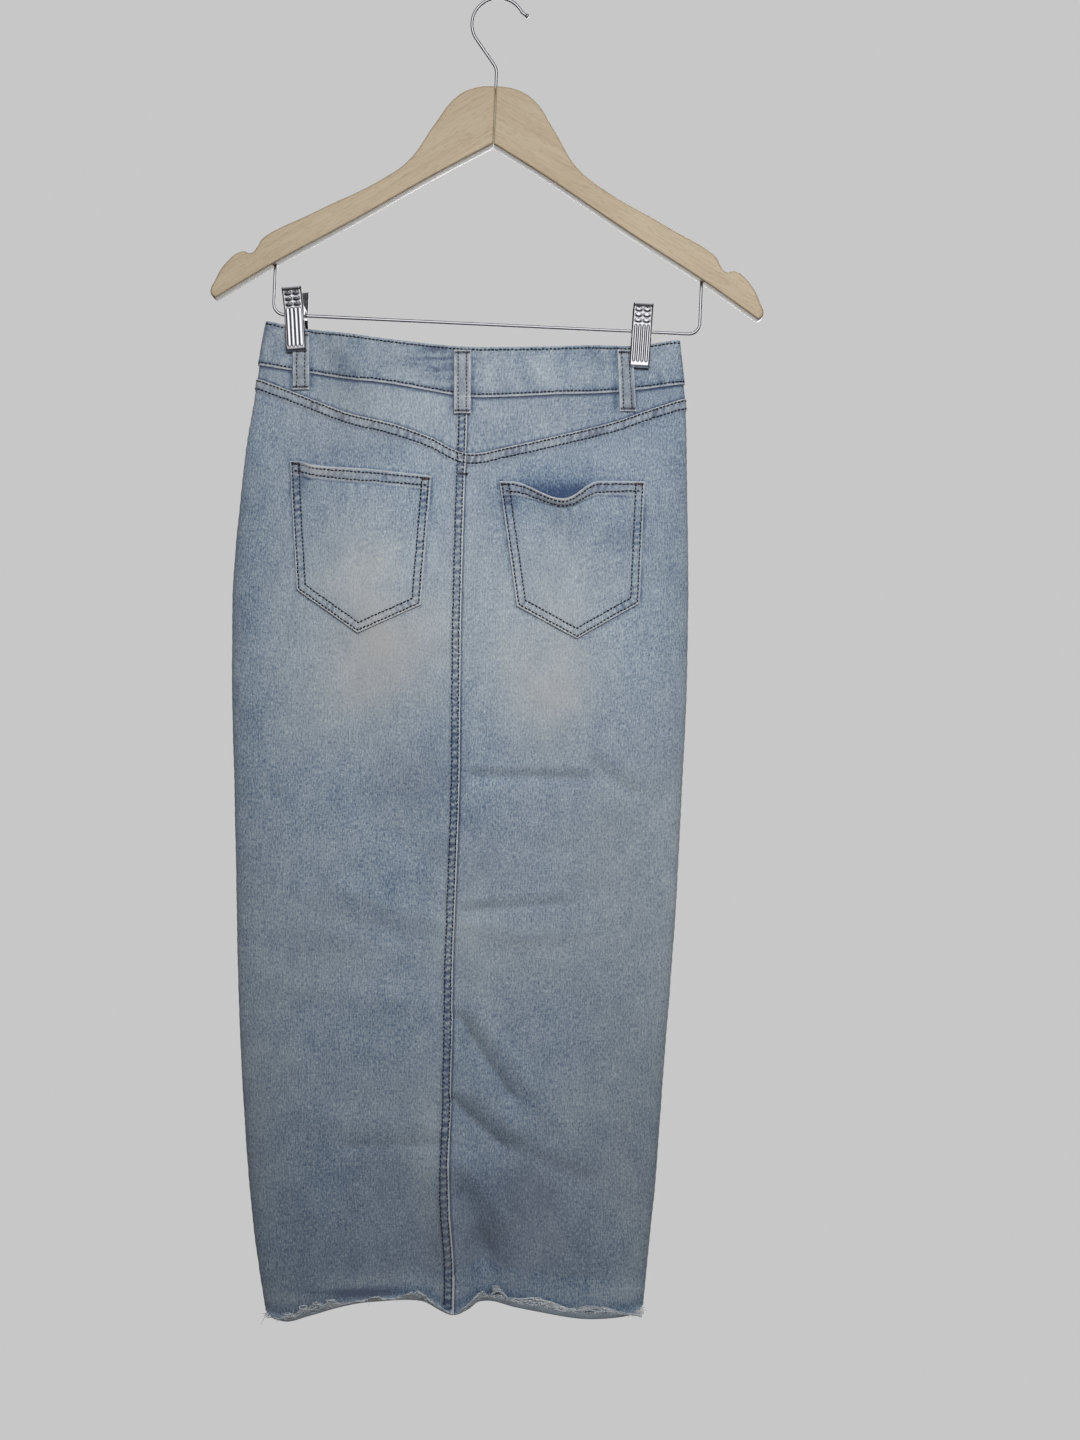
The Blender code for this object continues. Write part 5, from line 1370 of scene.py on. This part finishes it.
# Tufts of weft threads worked loose along the raw hem: face, from and to in mm across, and how far they stand
# up. Then the threads along each half of the hem: face, warp ends and loose weft threads
Tuft = namedtuple("Tuft", "face start end rise")
TUFTS = rows(
    Tuft,
    ("back", -171, -160, 3.5), ("back", -158, -147, 6), ("back", -150, -136, 7), ("back", -138, -125, 6),
    ("back", -100, -91, 7.5), ("back", -74, -62, 6.5), ("back", -66, -52, 7.5), ("back", -30, -14, 8),
    ("back", -9, 9, 8.5), ("back", 6, 56, 4), ("back", 52, 96, 4), ("back", 102, 112, 5.5),
    ("front", -150, -120, 3), ("front", -60, -44, 4.5), ("front", -10, 20, 2.5), ("front", 60, 90, 3.5))
TUFT_THREADS = 7
FRAYS = (("back", 430, 36), ("front", 240, 20))
HEM_SEAM_X = -35.0


def beside_cut(face, across):
    """Points on a panel's cut edge, the directions out there, points just before it, and the way onward."""
    edge, out, _ = hem_curl(face, across, np.ones(len(across)))
    before, _, _ = hem_curl(face, across, np.full(len(across), 0.92))
    return edge, out, before, unit(edge - before)


def warp_ends(name, face, side, count, rng):
    """Warp threads that stand out of the raw edge."""
    edge, out, before, onward = beside_cut(face, side * np.sort(rng.uniform(0.01, 0.985, count)))
    share = np.linspace(0, 1, 5)[None, :, None]
    length = (0.9 + rng.gamma(2.0, 0.75, count))[:, None, None]
    bend = rng.normal(0, 0.45, (count, 1, 3))
    start = before + out * rng.uniform(0.2, 0.8, (count, 1))
    gap = np.linalg.norm(edge - before, axis=-1)[:, None, None]
    paths = start[:, None] + onward[:, None] * share * (length + gap) + bend * share ** 2 * length
    radii = np.array([1, 1, 1, 1, 0.5]) * rng.uniform(0.14, 0.24, (count, 1))
    threads(name + "_warp_ends", paths, np.repeat(out[:, None], 5, axis=1), radii, FRAY, "thread",
            rng.uniform(0, 0.5, count), 4)


def loose_weft(name, face, side, count, rng):
    """Weft threads that have worked loose along the raw edge, some of them in tufts."""
    start = rng.uniform(0.02, 0.86, count)
    end = start + rng.uniform(0.03, 0.17, count)
    rise = rng.gamma(2.0, 0.8, count)
    for tuft in TUFTS:
        if tuft.face == face and (tuft.start + tuft.end > 2 * HEM_SEAM_X) == (side > 0):
            ends = side * across_of(np.array([tuft.start, tuft.end]), np.full(2, HEM_HEIGHT))
            jitter = rng.normal(0, 0.006, (2, TUFT_THREADS))
            start = np.append(start, ends[0] + jitter[0])
            end = np.append(end, ends[1] + jitter[1])
            rise = np.append(rise, tuft.rise * rng.uniform(0.5, 1.7, TUFT_THREADS))
    count = len(start)
    steps = np.linspace(0, 1, 26)

    def wave(low, high, phase=0):
        return np.sin(steps * rng.uniform(low, high, count)[:, None] + phase)

    at = start[:, None] + (end - start)[:, None] * steps + 0.012 * wave(6, 20)
    edge, out, _, onward = beside_cut(face, side * np.clip(at, 0.005, 0.99).ravel())
    height = np.sin(np.pi * steps) * rise[:, None] + 0.8 * wave(8, 26)
    paths = edge + onward * height.reshape(-1, 1) + out * (0.6 + 0.6 * wave(6, 18, 1)).reshape(-1, 1)
    paths, out = paths.reshape(*at.shape, 3), out.reshape(*at.shape, 3)
    threads(name + "_loose_weft", paths, out, np.full(at.shape, 0.36), FRAY, "thread",
            rng.uniform(0.5, 1, count), 4)


# Wooden hanger, hook, bar and clips

# The jaws' profiles from lip to foot, in the clip's own frame, and the row beside the pivot
JawPoint = namedtuple("JawPoint", "y z")
BACK_JAW = rows(JawPoint, (-12.6, 19.8), (-12.4, 18.9), (-8.6, 5), (-7.8, -2), (-7.6, -27.2), (-7, -28.9),
                (-5.7, -29.5))
FRONT_JAW = rows(JawPoint, (12.8, 22.2), (12.6, 21.3), (7.6, 6), (6, -2), (4.9, -27.2), (4.4, -28.9),
                 (3.3, -29.5))
PIVOT_ROW = 3


def hung(points):
    """Turns points of the level hanger to where the tilted hanger has them."""
    points = np.asarray(points, float)
    x, y, z = points[..., 0], points[..., 1], points[..., 2]
    cosine, sine = math.cos(HANGER_TILT), math.sin(HANGER_TILT)
    return np.stack([x * cosine + z * sine, y, z * cosine - x * sine], axis=-1)


def plate(name, thickness, edge, fineness):
    """A flat outline that fills to a plate with rounded edges."""
    curve = bpy.data.curves.new(name, "CURVE")
    curve.dimensions = "2D"
    curve.fill_mode = "BOTH"
    curve.extrude = (thickness / 2 - edge) * MM
    curve.bevel_depth = edge * MM
    curve.bevel_resolution = fineness
    curve.offset = -edge * MM
    return curve


def plate_meshes(curve, places):
    """The plate as a mesh, once for each place."""
    drawn = bpy.data.objects.new("plate", curve)
    bpy.context.scene.collection.objects.link(drawn)
    bpy.context.view_layer.update()
    made = []
    for place in places:
        mesh = bpy.data.meshes.new_from_object(drawn.evaluated_get(bpy.context.evaluated_depsgraph_get()))
        mesh.transform(place)
        mesh.materials.clear()
        smooth(mesh, 35)
        made.append(mesh)
    bpy.data.objects.remove(drawn)
    return made


def wood_arm(name, side, finish):
    """One half of the wooden hanger, sawn to the outline, with its edges routed round."""
    curve = plate(name, WOOD_THICKNESS, WOOD_EDGE_RADIUS, 4)
    curve.resolution_u = 14
    spline = curve.splines.new("BEZIER")
    spline.use_cyclic_u = True
    spline.bezier_points.add(len(WOOD_OUTLINE) - 1)
    for bezier, point in zip(spline.bezier_points, WOOD_OUTLINE):
        inset = SEAM_GAP / 2 if point.x == 0 else 0.0
        bezier.co = Vector((side * (point.x + inset), point.z, 0)) * MM
        handle = "VECTOR" if point.kind == "corner" else "AUTO"
        bezier.handle_left_type = handle
        bezier.handle_right_type = handle
    upright = Matrix.Rotation(HANGER_TILT, 4, "Y") @ Matrix.Rotation(math.pi / 2, 4, "X")
    place_piece(name, plate_meshes(curve, [upright])[0], finish, "wood", (name,))


def arc(centre_x, centre_z, radius, start, end, steps):
    angle = np.linspace(start, end, steps + 1)
    x, z = centre_x + radius * np.cos(angle), centre_z + radius * np.sin(angle)
    return np.stack([x, 0 * angle, z], axis=-1)


def wire(name, points, radii, finish, normals=(0.0, 1.0, 0.0), sides=20, replaced=()):
    """Round wire along the points."""
    points = np.asarray(points, float)[None]
    radii = np.broadcast_to(radii, points.shape[:2]).copy()
    normals = np.broadcast_to(normals, points.shape)
    threads(name, points, normals, radii, finish, "chrome", np.ones(1), sides, replaced)


# The ball at the hook's tip: shares of the tip's length, and the wire's girth there
TIP_STEPS = np.array([0.12, 0.25, 0.4, 0.55, 0.66, 0.76, 0.84, 0.91, 0.96, 1.0, 1.02])
TIP_GIRTH = np.array([1, 1, 0.98, 0.98, 1.05, 1.3, 1.45, 1.45, 1.2, 0.7, 0.2])


def bend_hook():
    """Stem, bend and a near circle, whose tip flares into a small ball."""
    centre = WIRE_DIAMETER / 2 - HOOK_RADIUS
    circle = arc(0.0, centre, HOOK_RADIUS, HOOK_STEM_ANGLE, HOOK_OPENING_ANGLE, 90)
    start = circle[0]
    bend_turn = HOOK_STEM_ANGLE - math.pi
    corner = start[2] - abs(start[0]) / math.tan(bend_turn)
    back_off = HOOK_BEND_RADIUS * math.tan(bend_turn / 2)
    bend = arc(-HOOK_BEND_RADIUS, corner - back_off, HOOK_BEND_RADIUS, 0.0, bend_turn, 14)
    tip_angle = HOOK_OPENING_ANGLE - math.pi / 2
    flare = unit(np.array([math.cos(tip_angle) + HOOK_TIP_SLOPE, 0, math.sin(tip_angle)]))
    tip = circle[-1] + flare * HOOK_TIP_LENGTH * TIP_STEPS[:, None]
    stem = np.linspace([0, 0, HOOK_STEM_END + 20], bend[0], 12, endpoint=False)
    points = np.concatenate([stem, bend, circle[1:], tip])
    radii = np.full(len(points), WIRE_DIAMETER / 2)
    radii[-len(TIP_STEPS):] *= TIP_GIRTH
    wire("hook", hung(points), radii, WIRE, sides=24, replaced=("hook",))


def bar_height(x):
    share = (x + BAR_HALF_WIDTH) / (2 * BAR_HALF_WIDTH)
    return BAR_LEFT_HEIGHT + (BAR_RIGHT_HEIGHT - BAR_LEFT_HEIGHT) * share


def bend_bar():
    r, left, right = BAR_BEND_RADIUS, -BAR_HALF_WIDTH, BAR_HALF_WIDTH
    points = np.concatenate([
        [[left, 0, BAR_LEG_END - 2], [left, 0, BAR_LEG_END - 20]],
        arc(left + r, BAR_LEFT_HEIGHT + r, r, math.pi, 1.5 * math.pi, 18),
        [[x, 0, bar_height(x)] for x in np.linspace(left + 30, right - 30, 12)],
        arc(right - r, BAR_RIGHT_HEIGHT + r, r, 1.5 * math.pi, 2 * math.pi, 18),
        [[right, 0, BAR_LEG_END - 20], [right, 0, BAR_LEG_END - 2]]])
    wire("clip_bar", hung(points), WIRE_DIAMETER / 2, WIRE, replaced=("clip_bar",))


def clip_frame(clip):
    """Places a clip's own frame, whose origin is its pivot, on the bar."""
    level_x = clip.x * math.cos(HANGER_TILT) - BAR_LEFT_HEIGHT * math.sin(HANGER_TILT)
    pivot = hung([level_x, 0, bar_height(level_x) - CLIP_DROP_ON_BAR])
    turn = Matrix.Rotation(clip.lean, 4, "Y") @ Matrix.Rotation(clip.turn, 4, "Z")
    return Matrix.Translation(Vector(pivot) * MM) @ turn


# Pattern pressed into the jaws: columns and rows of bosses, and columns, top and foot of the ribs
BOSS_COLUMNS = (-3.3, 3.3)
BOSS_TOP = 15.0
BOSS_PITCH = 4.1
RIB_COLUMNS = (-4.95, -1.65, 1.65, 4.95)
RIB_TOP = 2.6
RIB_FOOT = -25.0


def pressed_pattern(x, z, boss_dim_reflection, groove):
    """Height of the pattern pressed into a jaw, and where dirt and painted dark reflection darken it: two
    columns of three oval bosses, a plain band, and four long ribs. The third argument is how dark the bosses
    are painted for the dark room they mirror, groove how far a rib's grooves lie beside it."""
    height = np.zeros(x.shape)
    grime = np.zeros(x.shape)
    for row in range(3):
        for column in BOSS_COLUMNS:
            below = (BOSS_TOP - BOSS_PITCH * row - z) / 1.2
            away = np.hypot((x - column) / 2.1, below)
            height = height + 0.35 * np.sqrt(np.clip(1 - away ** 2, 0, 1)) - 0.22 * ridge(away - 1.25, 0.3)
            # A painted dark reflection round each boss, stronger on its lower half, and over the bosses
            # themselves
            rim = ridge(away - 1.25, 0.46) * np.clip(0.70 + 0.5 * below, 0, 1)
            grime = np.maximum(grime, np.maximum(rim, boss_dim_reflection * (away < 1.1)))
    for column in RIB_COLUMNS:
        beyond = np.maximum(np.maximum(z - RIB_TOP, RIB_FOOT - z), 0)
        away = np.hypot(x - column, beyond)
        height = height + 0.22 * np.sqrt(np.clip(1 - (away / 0.8) ** 2, 0, 1))
        height = height - 0.28 * ridge(away - groove, 0.3)
        # Dirt and painted dark reflection along each rib's grooves
        grime = np.maximum(grime, ridge(away - groove, 0.34))
    return height, grime


def jaw_profile(profile):
    """Steps along a jaw's profile from its lip, and the place of each, with the corners eased."""
    corner_y, corner_z = np.array(profile, float).T
    lengths = np.concatenate([[0], np.cumsum(np.hypot(np.diff(corner_y), np.diff(corner_z)))])
    steps = stops((0, 2.0, 0.34), (2.0, lengths[-1] - 3, 0.5), (lengths[-1] - 3, lengths[-1], 0.36))
    y, z = np.interp(steps, lengths, corner_y), np.interp(steps, lengths, corner_z)
    ease = np.ones(5) / 5
    y[3:-3] = np.convolve(y, ease, "same")[3:-3]
    z[3:-3] = np.convolve(z, ease, "same")[3:-3]
    return steps, y, z


def press_jaw(clip, kind, profile):
    """A jaw of pressed steel sheet: rolled top lip, bent sides, and the pattern on its outer face."""
    name = "clip_" + clip.name + "_" + kind
    steps, y, z = jaw_profile(profile)
    below_lip = z - profile[0].z
    away = -1 if kind == "back_jaw" else 1
    columns = stops((-8.0, -6.6, 0.35), (-6.6, 6.6, 0.3), (6.6, 8.0, 0.35)) * -away
    x, y = np.broadcast_arrays(columns[None, :], y[:, None])
    z, below_lip = [np.broadcast_to(values[:, None], x.shape) for values in (z, below_lip)]
    side = rounded(CLIP_WIDTH / 2 - np.abs(x), 1.6)
    base = np.stack([x, y - away * side, z], axis=-1)
    slope_y, slope_z = np.gradient(y[:, 0]), np.gradient(z[:, 0])
    out = unit(np.stack([0 * slope_y, -away * slope_z, away * slope_y], axis=-1))
    out = np.where((out[:, 1] * away > 0)[:, None], out, -out)[:, None, :] + 0 * base
    inner = smooth_step(0, 1.2, CLIP_WIDTH / 2 - np.abs(x)) * smooth_step(0, 1.5, steps)[:, None]
    lip = 0.45 * ridge(below_lip + 1.0, 1.0) * (np.abs(x) < 7.2) + 0.5 * ridge(z + 28.2, 0.8)
    height = CLIP_SHEET * np.ones(x.shape) + lip
    pressed, grime = pressed_pattern(x, z, clip.tarnish, clip.groove)
    pressed, grime = pressed * inner, grime * inner
    # Painted dark reflection on the rolled top lip, the bent sides and the bottom lip
    rolled = ridge(below_lip + 1.2, 1.5) * np.where(np.abs(x) < 6.6, 0.8, 0.35)
    flanks = 0.55 * smooth_step(6.7, 7.6, np.abs(x))
    grime = np.maximum.reduce([grime, rolled, flanks, clip.tarnish * ridge(z + 28.6, 1.3)])
    base = base + out * np.minimum(pressed, 0)[..., None] * 0.6
    outer = base + out * (height + np.maximum(pressed, 0) + 0.4 * np.minimum(pressed, 0))[..., None]
    mesh = closed_sheet(name, outer, base)
    mesh.transform(clip_frame(clip))
    # The jaw's inner side is darkened evenly
    write_tints(mesh, {"grime": np.concatenate([grime.ravel(), np.full(grime.size, 0.7)])})
    smooth(mesh, 50)
    place_piece(name, mesh, CHROME, "chrome", (name,))


def cut_ears(clip, kind, profile, ear_x):
    """The two eyes that carry a jaw on the bar."""
    away = -1 if kind == "back_jaw" else 1
    plate_y = profile[PIVOT_ROW].y + away * CLIP_SHEET / 2
    curve = plate("ears", CLIP_SHEET, EAR_EDGE_RADIUS, 2)
    eye = [(-away * CLIP_EAR_RADIUS * math.cos(a), CLIP_EAR_RADIUS * math.sin(a))
           for a in np.radians(np.linspace(-80, 80, 33))]
    hole = [(CLIP_EAR_HOLE_RADIUS * math.cos(a), CLIP_EAR_HOLE_RADIUS * math.sin(a))
            for a in np.linspace(0, 2 * math.pi, 36, endpoint=False)]
    for points in ([(plate_y, -CLIP_EAR_REACH)] + eye + [(plate_y, CLIP_EAR_REACH)], hole):
        spline = curve.splines.new("POLY")
        spline.use_cyclic_u = True
        spline.points.add(len(points) - 1)
        for point, (y, z) in zip(spline.points, points):
            point.co = (y * MM, z * MM, 0, 1)
    upright = Matrix(((0, 0, 1, 0), (1, 0, 0, 0), (0, 1, 0, 0), (0, 0, 0, 1)))
    places = [clip_frame(clip) @ Matrix.Translation((side * ear_x * MM, 0, 0)) @ upright for side in (-1, 1)]
    for word, mesh in zip(("left", "right"), plate_meshes(curve, places)):
        # The ears are darkened evenly
        write_tints(mesh, {"grime": np.full(len(mesh.vertices), 0.55)})
        place_piece("clip_" + clip.name + "_" + kind + "_ear_" + word, mesh, CHROME, "chrome")


def wind_spring(clip):
    """Six turns of spring wire round the bar, with a leg to each jaw."""
    turns, count = 6, 150
    angle = np.linspace(0.35 * math.pi, 0.35 * math.pi + 2 * math.pi * turns, count)
    radius = SPRING_RADIUS - SPRING_WIRE / 2
    x = np.linspace(-SPRING_LENGTH / 2 + 0.6, SPRING_LENGTH / 2 - 0.6, count)
    radial = np.stack([0 * angle, np.cos(angle), np.sin(angle)], axis=-1)
    coil = radial * radius + np.stack([x, 0 * x, 0 * x], axis=-1)
    lead = np.array([[x[0], 6.4, 12.0], [x[0], 5.4, 9.0], [x[0], 4.0, 6.0]])
    tail = np.array([[x[-1], -1.0, 5.6], [x[-1], -5.0, 8.2], [x[-1], -8.0, 11.0]])
    points = np.concatenate([lead, coil, tail])
    frame_turn = np.array(clip_frame(clip))
    points = points @ frame_turn[:3, :3].T + frame_turn[:3, 3] / MM
    normals = np.broadcast_to(frame_turn[:3, 0], points.shape)
    name = "clip_" + clip.name + "_spring"
    wire(name, points, SPRING_WIRE / 2, WIRE, normals, 8, (name,))


# The button and its hole

# Radius and height of the button, from the middle of its face round to its back
BUTTON_PROFILE = ((0.01, 2.7), (3.2, 2.75), (4.2, 3.05), (4.8, 2.75), (5.6, 2.8), (6.4, 3.3), (7.3, 3.35),
                  (8.1, 2.9), (8.5, 2.1), (8.35, 1.3), (7.6, 0.8), (6.4, 0.5), (5.0, 0.05), (0.01, 0.0))


def band_middle():
    """Height of the front waistband's middle line, at the centre."""
    return (along(SEAM_LINES["front"], "waist", 0.0) + along(SEAM_LINES["front"], "band_seam", 0.0)) / 2


def turn_button():
    """Shank button: pressed copper-plated cap with two raised rings."""
    z = band_middle()
    base, out = cloth("front", 0.0, z)
    centre = base + out * (2 * WAISTBAND_WALL + 2 * LAID_ON_GAP + SEAM_GAP)
    lengths = np.arange(len(BUTTON_PROFILE), dtype=float)
    fine = np.linspace(0, lengths[-1], 60)
    radius = np.interp(fine, lengths, [row[0] for row in BUTTON_PROFILE])
    height = np.interp(fine, lengths, [row[1] for row in BUTTON_PROFILE])
    ease = np.array([1, 2, 1]) / 4
    radius[1:-1] = np.convolve(radius, ease, "same")[1:-1]
    height[1:-1] = np.convolve(height, ease, "same")[1:-1]
    sides = 56
    angle = np.arange(sides) * 2 * np.pi / sides
    first = unit(np.cross(out, [0, 0, 1.0]))
    second = np.cross(out, first)
    ring = first * np.cos(angle)[:, None] + second * np.sin(angle)[:, None]
    points = centre + ring[None] * radius[:, None, None] + out * height[:, None, None]
    index = np.arange(len(fine) * sides).reshape(len(fine), sides)
    after = np.roll(index, -1, axis=1)
    faces = np.stack([index[:-1], after[:-1], after[1:], index[1:]], axis=-1).reshape(-1, 4)[:, ::-1].tolist()
    mesh = bpy.data.meshes.new("button")
    mesh.from_pydata(points.reshape(-1, 3) * MM, [], faces + [list(index[0]), list(index[-1][::-1])])
    mesh.shade_smooth()
    place_piece("button", mesh, BRASS, "brass", ("button",))


def sew_buttonhole():
    """Close stitches round the slit in the lapped end, with an eye where the shank sits."""
    z = band_middle()
    seam = along(SECTIONS, "seam", z)
    share = np.linspace(0, 2 * np.pi, BUTTONHOLE_STITCHES, endpoint=False)
    up = np.sign(np.sin(share))
    wide = 1.5 + 1.5 * ridge(np.cos(share) + 1, 0.35)
    x = seam - 3.0 + BUTTONHOLE_REACH * np.cos(share)
    path_z = z + wide * up * np.abs(np.sin(share)) ** 0.3
    lift = np.full(x.shape, 2 * WAISTBAND_WALL + LAID_ON_GAP + 0.05)
    inner, out = laid("front", x, path_z, lift)
    outer, _ = laid("front", x + np.cos(share), path_z + 1.5 * up, lift)
    mix = np.linspace(0, 1, 5)[None, :, None]
    paths = inner[:, None] * (1 - mix) + outer[:, None] * mix
    paths = paths + out[:, None] * (0.35 * np.sin(np.pi * mix))
    threads("buttonhole_stitches", paths, np.repeat(out[:, None], 5, axis=1), np.full(paths.shape[:2], 0.26),
            THREAD, "thread", np.random.default_rng(7).uniform(0, 1, BUTTONHOLE_STITCHES))


# Camera, light and floor, in metres. The key lamp isn't mirrored, and the softbox and the low glow behind are
# only mirrored. The glow draws the pale line along the varnished wood's lower faces, and shines on nothing
# else
CAMERA_PLACE = (0.0328, -1.133, -0.583)
Lamp = namedtuple("Lamp", "name place aim size spread watts")
LAMPS = rows(
    Lamp,
    ("key", (0.22, -1.25, 0.05), (0.0, 0.0, -0.52), 0.5, math.radians(100), 3.6),
    ("back_fill", (0.3, 1.6, 0.2), (0.0, 0.0, -0.6), 1.4, math.pi, 14.0),
    ("softbox", (-0.1, -1.7, -0.05), (0.0, 0.0, -0.3), 2.6, math.pi, 20.0),
    ("low_glow", (0.0, 1.3, -0.43), (0.0, 0.0, -0.2), 1.3, math.pi, 7.0))
FLOOR_RADIUS = 0.9
FLOOR_HEIGHT = -1.66
FLOOR_THICKNESS = 0.01
FLOOR_SIDES = 96


def set_camera():
    scene = bpy.context.scene
    scene.view_settings.view_transform = "Standard"
    lens = bpy.data.cameras.new("camera")
    lens.lens = 35
    lens.sensor_width = 36
    camera = bpy.data.objects.new("camera", lens)
    camera.location = CAMERA_PLACE
    camera.rotation_euler = (math.pi / 2, 0, 0)
    scene.collection.objects.link(camera)
    scene.camera = camera


def light_room():
    """A bright room with darker bands for the metal to mirror, and a plain pale backdrop."""
    world = bpy.data.worlds.new("studio")
    world.use_nodes = True
    bpy.context.scene.world = world
    tree = world.node_tree
    tree.nodes.clear()
    direction = add_node(tree, "ShaderNodeTexCoord").outputs["Generated"]
    parts = add_node(tree, "ShaderNodeSeparateXYZ", {0: direction})
    upward, forward = [add_node(tree, "ShaderNodeMapRange", {"Value": parts.outputs[axis], "From Min": -1.0})
                       for axis in "ZY"]
    sky = ramp(tree, upward.outputs[0], (0.0, "#595959"), (0.42, "#7C7C7C"), (0.6, "#C4C4C4"),
               (1.0, "#F3F3F3"))
    room = ramp(tree, forward.outputs[0], (0.0, "#FFFFFF"), (0.10, "#F3F3F3"), (0.22, "#898989"),
                (0.45, "#C8C8C8"), (0.58, "#6E6E6E"))
    lighting = add_node(tree, "ShaderNodeBackground", {"Color": blended(tree, 1.0, sky, room, "MULTIPLY"),
                                                       "Strength": 0.45})
    backdrop = add_node(tree, "ShaderNodeBackground", {"Color": linear("#C7C7C7"), "Strength": 1.0})
    path = add_node(tree, "ShaderNodeLightPath")
    seen = add_node(tree, "ShaderNodeMixShader", {0: path.outputs["Is Camera Ray"], 1: lighting.outputs[0],
                                                  2: backdrop.outputs[0]})
    add_node(tree, "ShaderNodeOutputWorld", {"Surface": seen.outputs[0]})


def hang_lamps():
    for row in LAMPS:
        lamp = bpy.data.lights.new(row.name, "AREA")
        lamp.shape = "DISK"
        lamp.size = row.size
        lamp.spread = row.spread
        lamp.energy = row.watts
        light = bpy.data.objects.new(row.name, lamp)
        light.location = row.place
        light.rotation_euler = (Vector(row.aim) - Vector(row.place)).to_track_quat("-Z", "Y").to_euler()
        light.visible_glossy = row.name != "key"
        light.visible_diffuse = row.name not in ("softbox", "low_glow")
        if row.name == "low_glow":
            light.light_linking.receiver_collection = VARNISHED
        bpy.context.scene.collection.objects.link(light)


def lay_floor():
    finish, tree = new_finish("pale_matt_floor")
    tone = ramp(tree, noise(tree, on_piece(tree), 60.0, 3.0), (0.3, "#C9C9C8"), (0.7, "#CDCDCC"))
    shade(finish, {"Base Color": tone, "Roughness": 0.9})
    count = FLOOR_SIDES
    edge = np.arange(count) * 2 * np.pi / count
    ring = FLOOR_RADIUS * np.stack([np.cos(edge), np.sin(edge), 0 * edge], axis=-1)
    points = np.concatenate([ring + [0, 0, FLOOR_HEIGHT], ring + [0, 0, FLOOR_HEIGHT - FLOOR_THICKNESS]])
    sides = [[i, (i + 1) % count, (i + 1) % count + count, i + count][::-1] for i in range(count)]
    mesh = bpy.data.meshes.new("floor")
    mesh.from_pydata(points, [], [list(range(count)), list(range(count, 2 * count))[::-1]] + sides)
    mesh.materials.append(finish)
    floor = bpy.data.objects.new("floor", mesh)
    bpy.context.scene.collection.objects.link(floor)


# Making the skirt and its hanger

def sew_seams(panels, yokes, bands):
    """Top stitching of the seams, the waistband and the fly."""
    bodies = {name: (piece.curl == 0).all(axis=1) for name, piece in panels.items()}
    left = panels["back_panel_left"]
    lines = [line_at(left.sewn, left.inset[bodies["back_panel_left"]], depth) for depth in CENTRE_ROWS]
    lines += [line_at(yokes["left"].sewn, yokes["left"].inset, depth) for depth in CENTRE_ROWS]
    stitched("centre_seam_stitches", lines, 1)
    for word in ("left", "right"):
        name = "back_panel_" + word
        drop = panels[name].drop[bodies[name]]
        stitched("yoke_seam_stitches_" + word,
                 [line_at(panels[name].sewn, drop, depth, False) for depth in YOKE_ROWS], 2)
    for number, (name, piece) in enumerate(bands.items()):
        stitched(name + "_stitches", [line_at(piece.sewn, piece.drop, BAND_TOP_ROW, False),
                                      line_at(piece.sewn, piece.curl, BAND_LOW_ROW, False)], 3 + number)
    front = panels["front_panel_left"]
    seam_line = line_at(front.sewn, front.inset[bodies["front_panel_left"]], FRONT_SEAM_ROW)
    stitched("fly_stitches", [fly_row(depth) for depth in FLY_ROWS] + [seam_line], 8)


def sew_skirt():
    panels = sew_panels()
    yokes = {"left": yoke("yoke_back_left", -1), "right": yoke("yoke_back_right", 1)}
    sew_seams(panels, yokes, sew_waistband())
    for pocket in POCKETS:
        stitched(pocket.name + "_stitches", sew_pocket(pocket), 9)
    for number, loop in enumerate(LOOPS):
        lines, tacks = sew_belt_loop(loop)
        stitched(loop.name + "_stitches", lines, 20 + number, LOOP_THREAD_RADIUS)
        bartacks(loop.name + "_bartacks", tacks, THREAD, 31 + number)
    for pocket in POCKETS:
        lift = pocket_lift(pocket, 0) + POCKET_WALL + 0.2
        for word, (x, z), way, finish in (("left", pocket.top_left, 1, THREAD),
                                          ("right", pocket.top_right, -1, RUST_THREAD)):
            x, z = x + way * POCKET_BARTACK_INSET, z - POCKET_BARTACK_DROP
            tack = ("back", x, z, lift, POCKET_BARTACK_LENGTH)
            bartacks(pocket.name + "_bartack_" + word, [tack], finish, 37)
    tack = ("back", *SEAM_BARTACK_PLACE, LAPPED_WALL - 0.1, SEAM_BARTACK_LENGTH)
    bartacks("centre_seam_bartack", [tack], THREAD, 38)
    seed = 41
    for face, short, long in FRAYS:
        for word, side in (("left", -1), ("right", 1)):
            rng = np.random.default_rng(seed)
            seed += 1
            warp_ends(face + "_panel_" + word, face, side, short, rng)
            loose_weft(face + "_panel_" + word, face, side, long, rng)
    turn_button()
    sew_buttonhole()


# The kind of row for a sheet as cut, without the seam allowances turned in: width and length in mm, area in
# cm2, what carries it, and the sewing on it. No sheet is listed here
Cut = namedtuple("Cut", "piece width length area carried_by trims")


def make_hanger():
    wood_arm("hanger_arm_left", -1, WOOD_LEFT)
    wood_arm("hanger_arm_right", 1, WOOD_RIGHT)
    bend_hook()
    bend_bar()
    for clip in CLIPS:
        for kind, profile, ear_x in (("back_jaw", BACK_JAW, CLIP_WIDTH / 2 - BACK_EAR_INSET),
                                     ("front_jaw", FRONT_JAW, CLIP_WIDTH / 2 - FRONT_EAR_INSET)):
            press_jaw(clip, kind, profile)
            cut_ears(clip, kind, profile, ear_x)
        wind_spring(clip)


set_camera()
light_room()
hang_lamps()
lay_floor()
sew_skirt()
make_hanger()
bpy.context.view_layer.update()
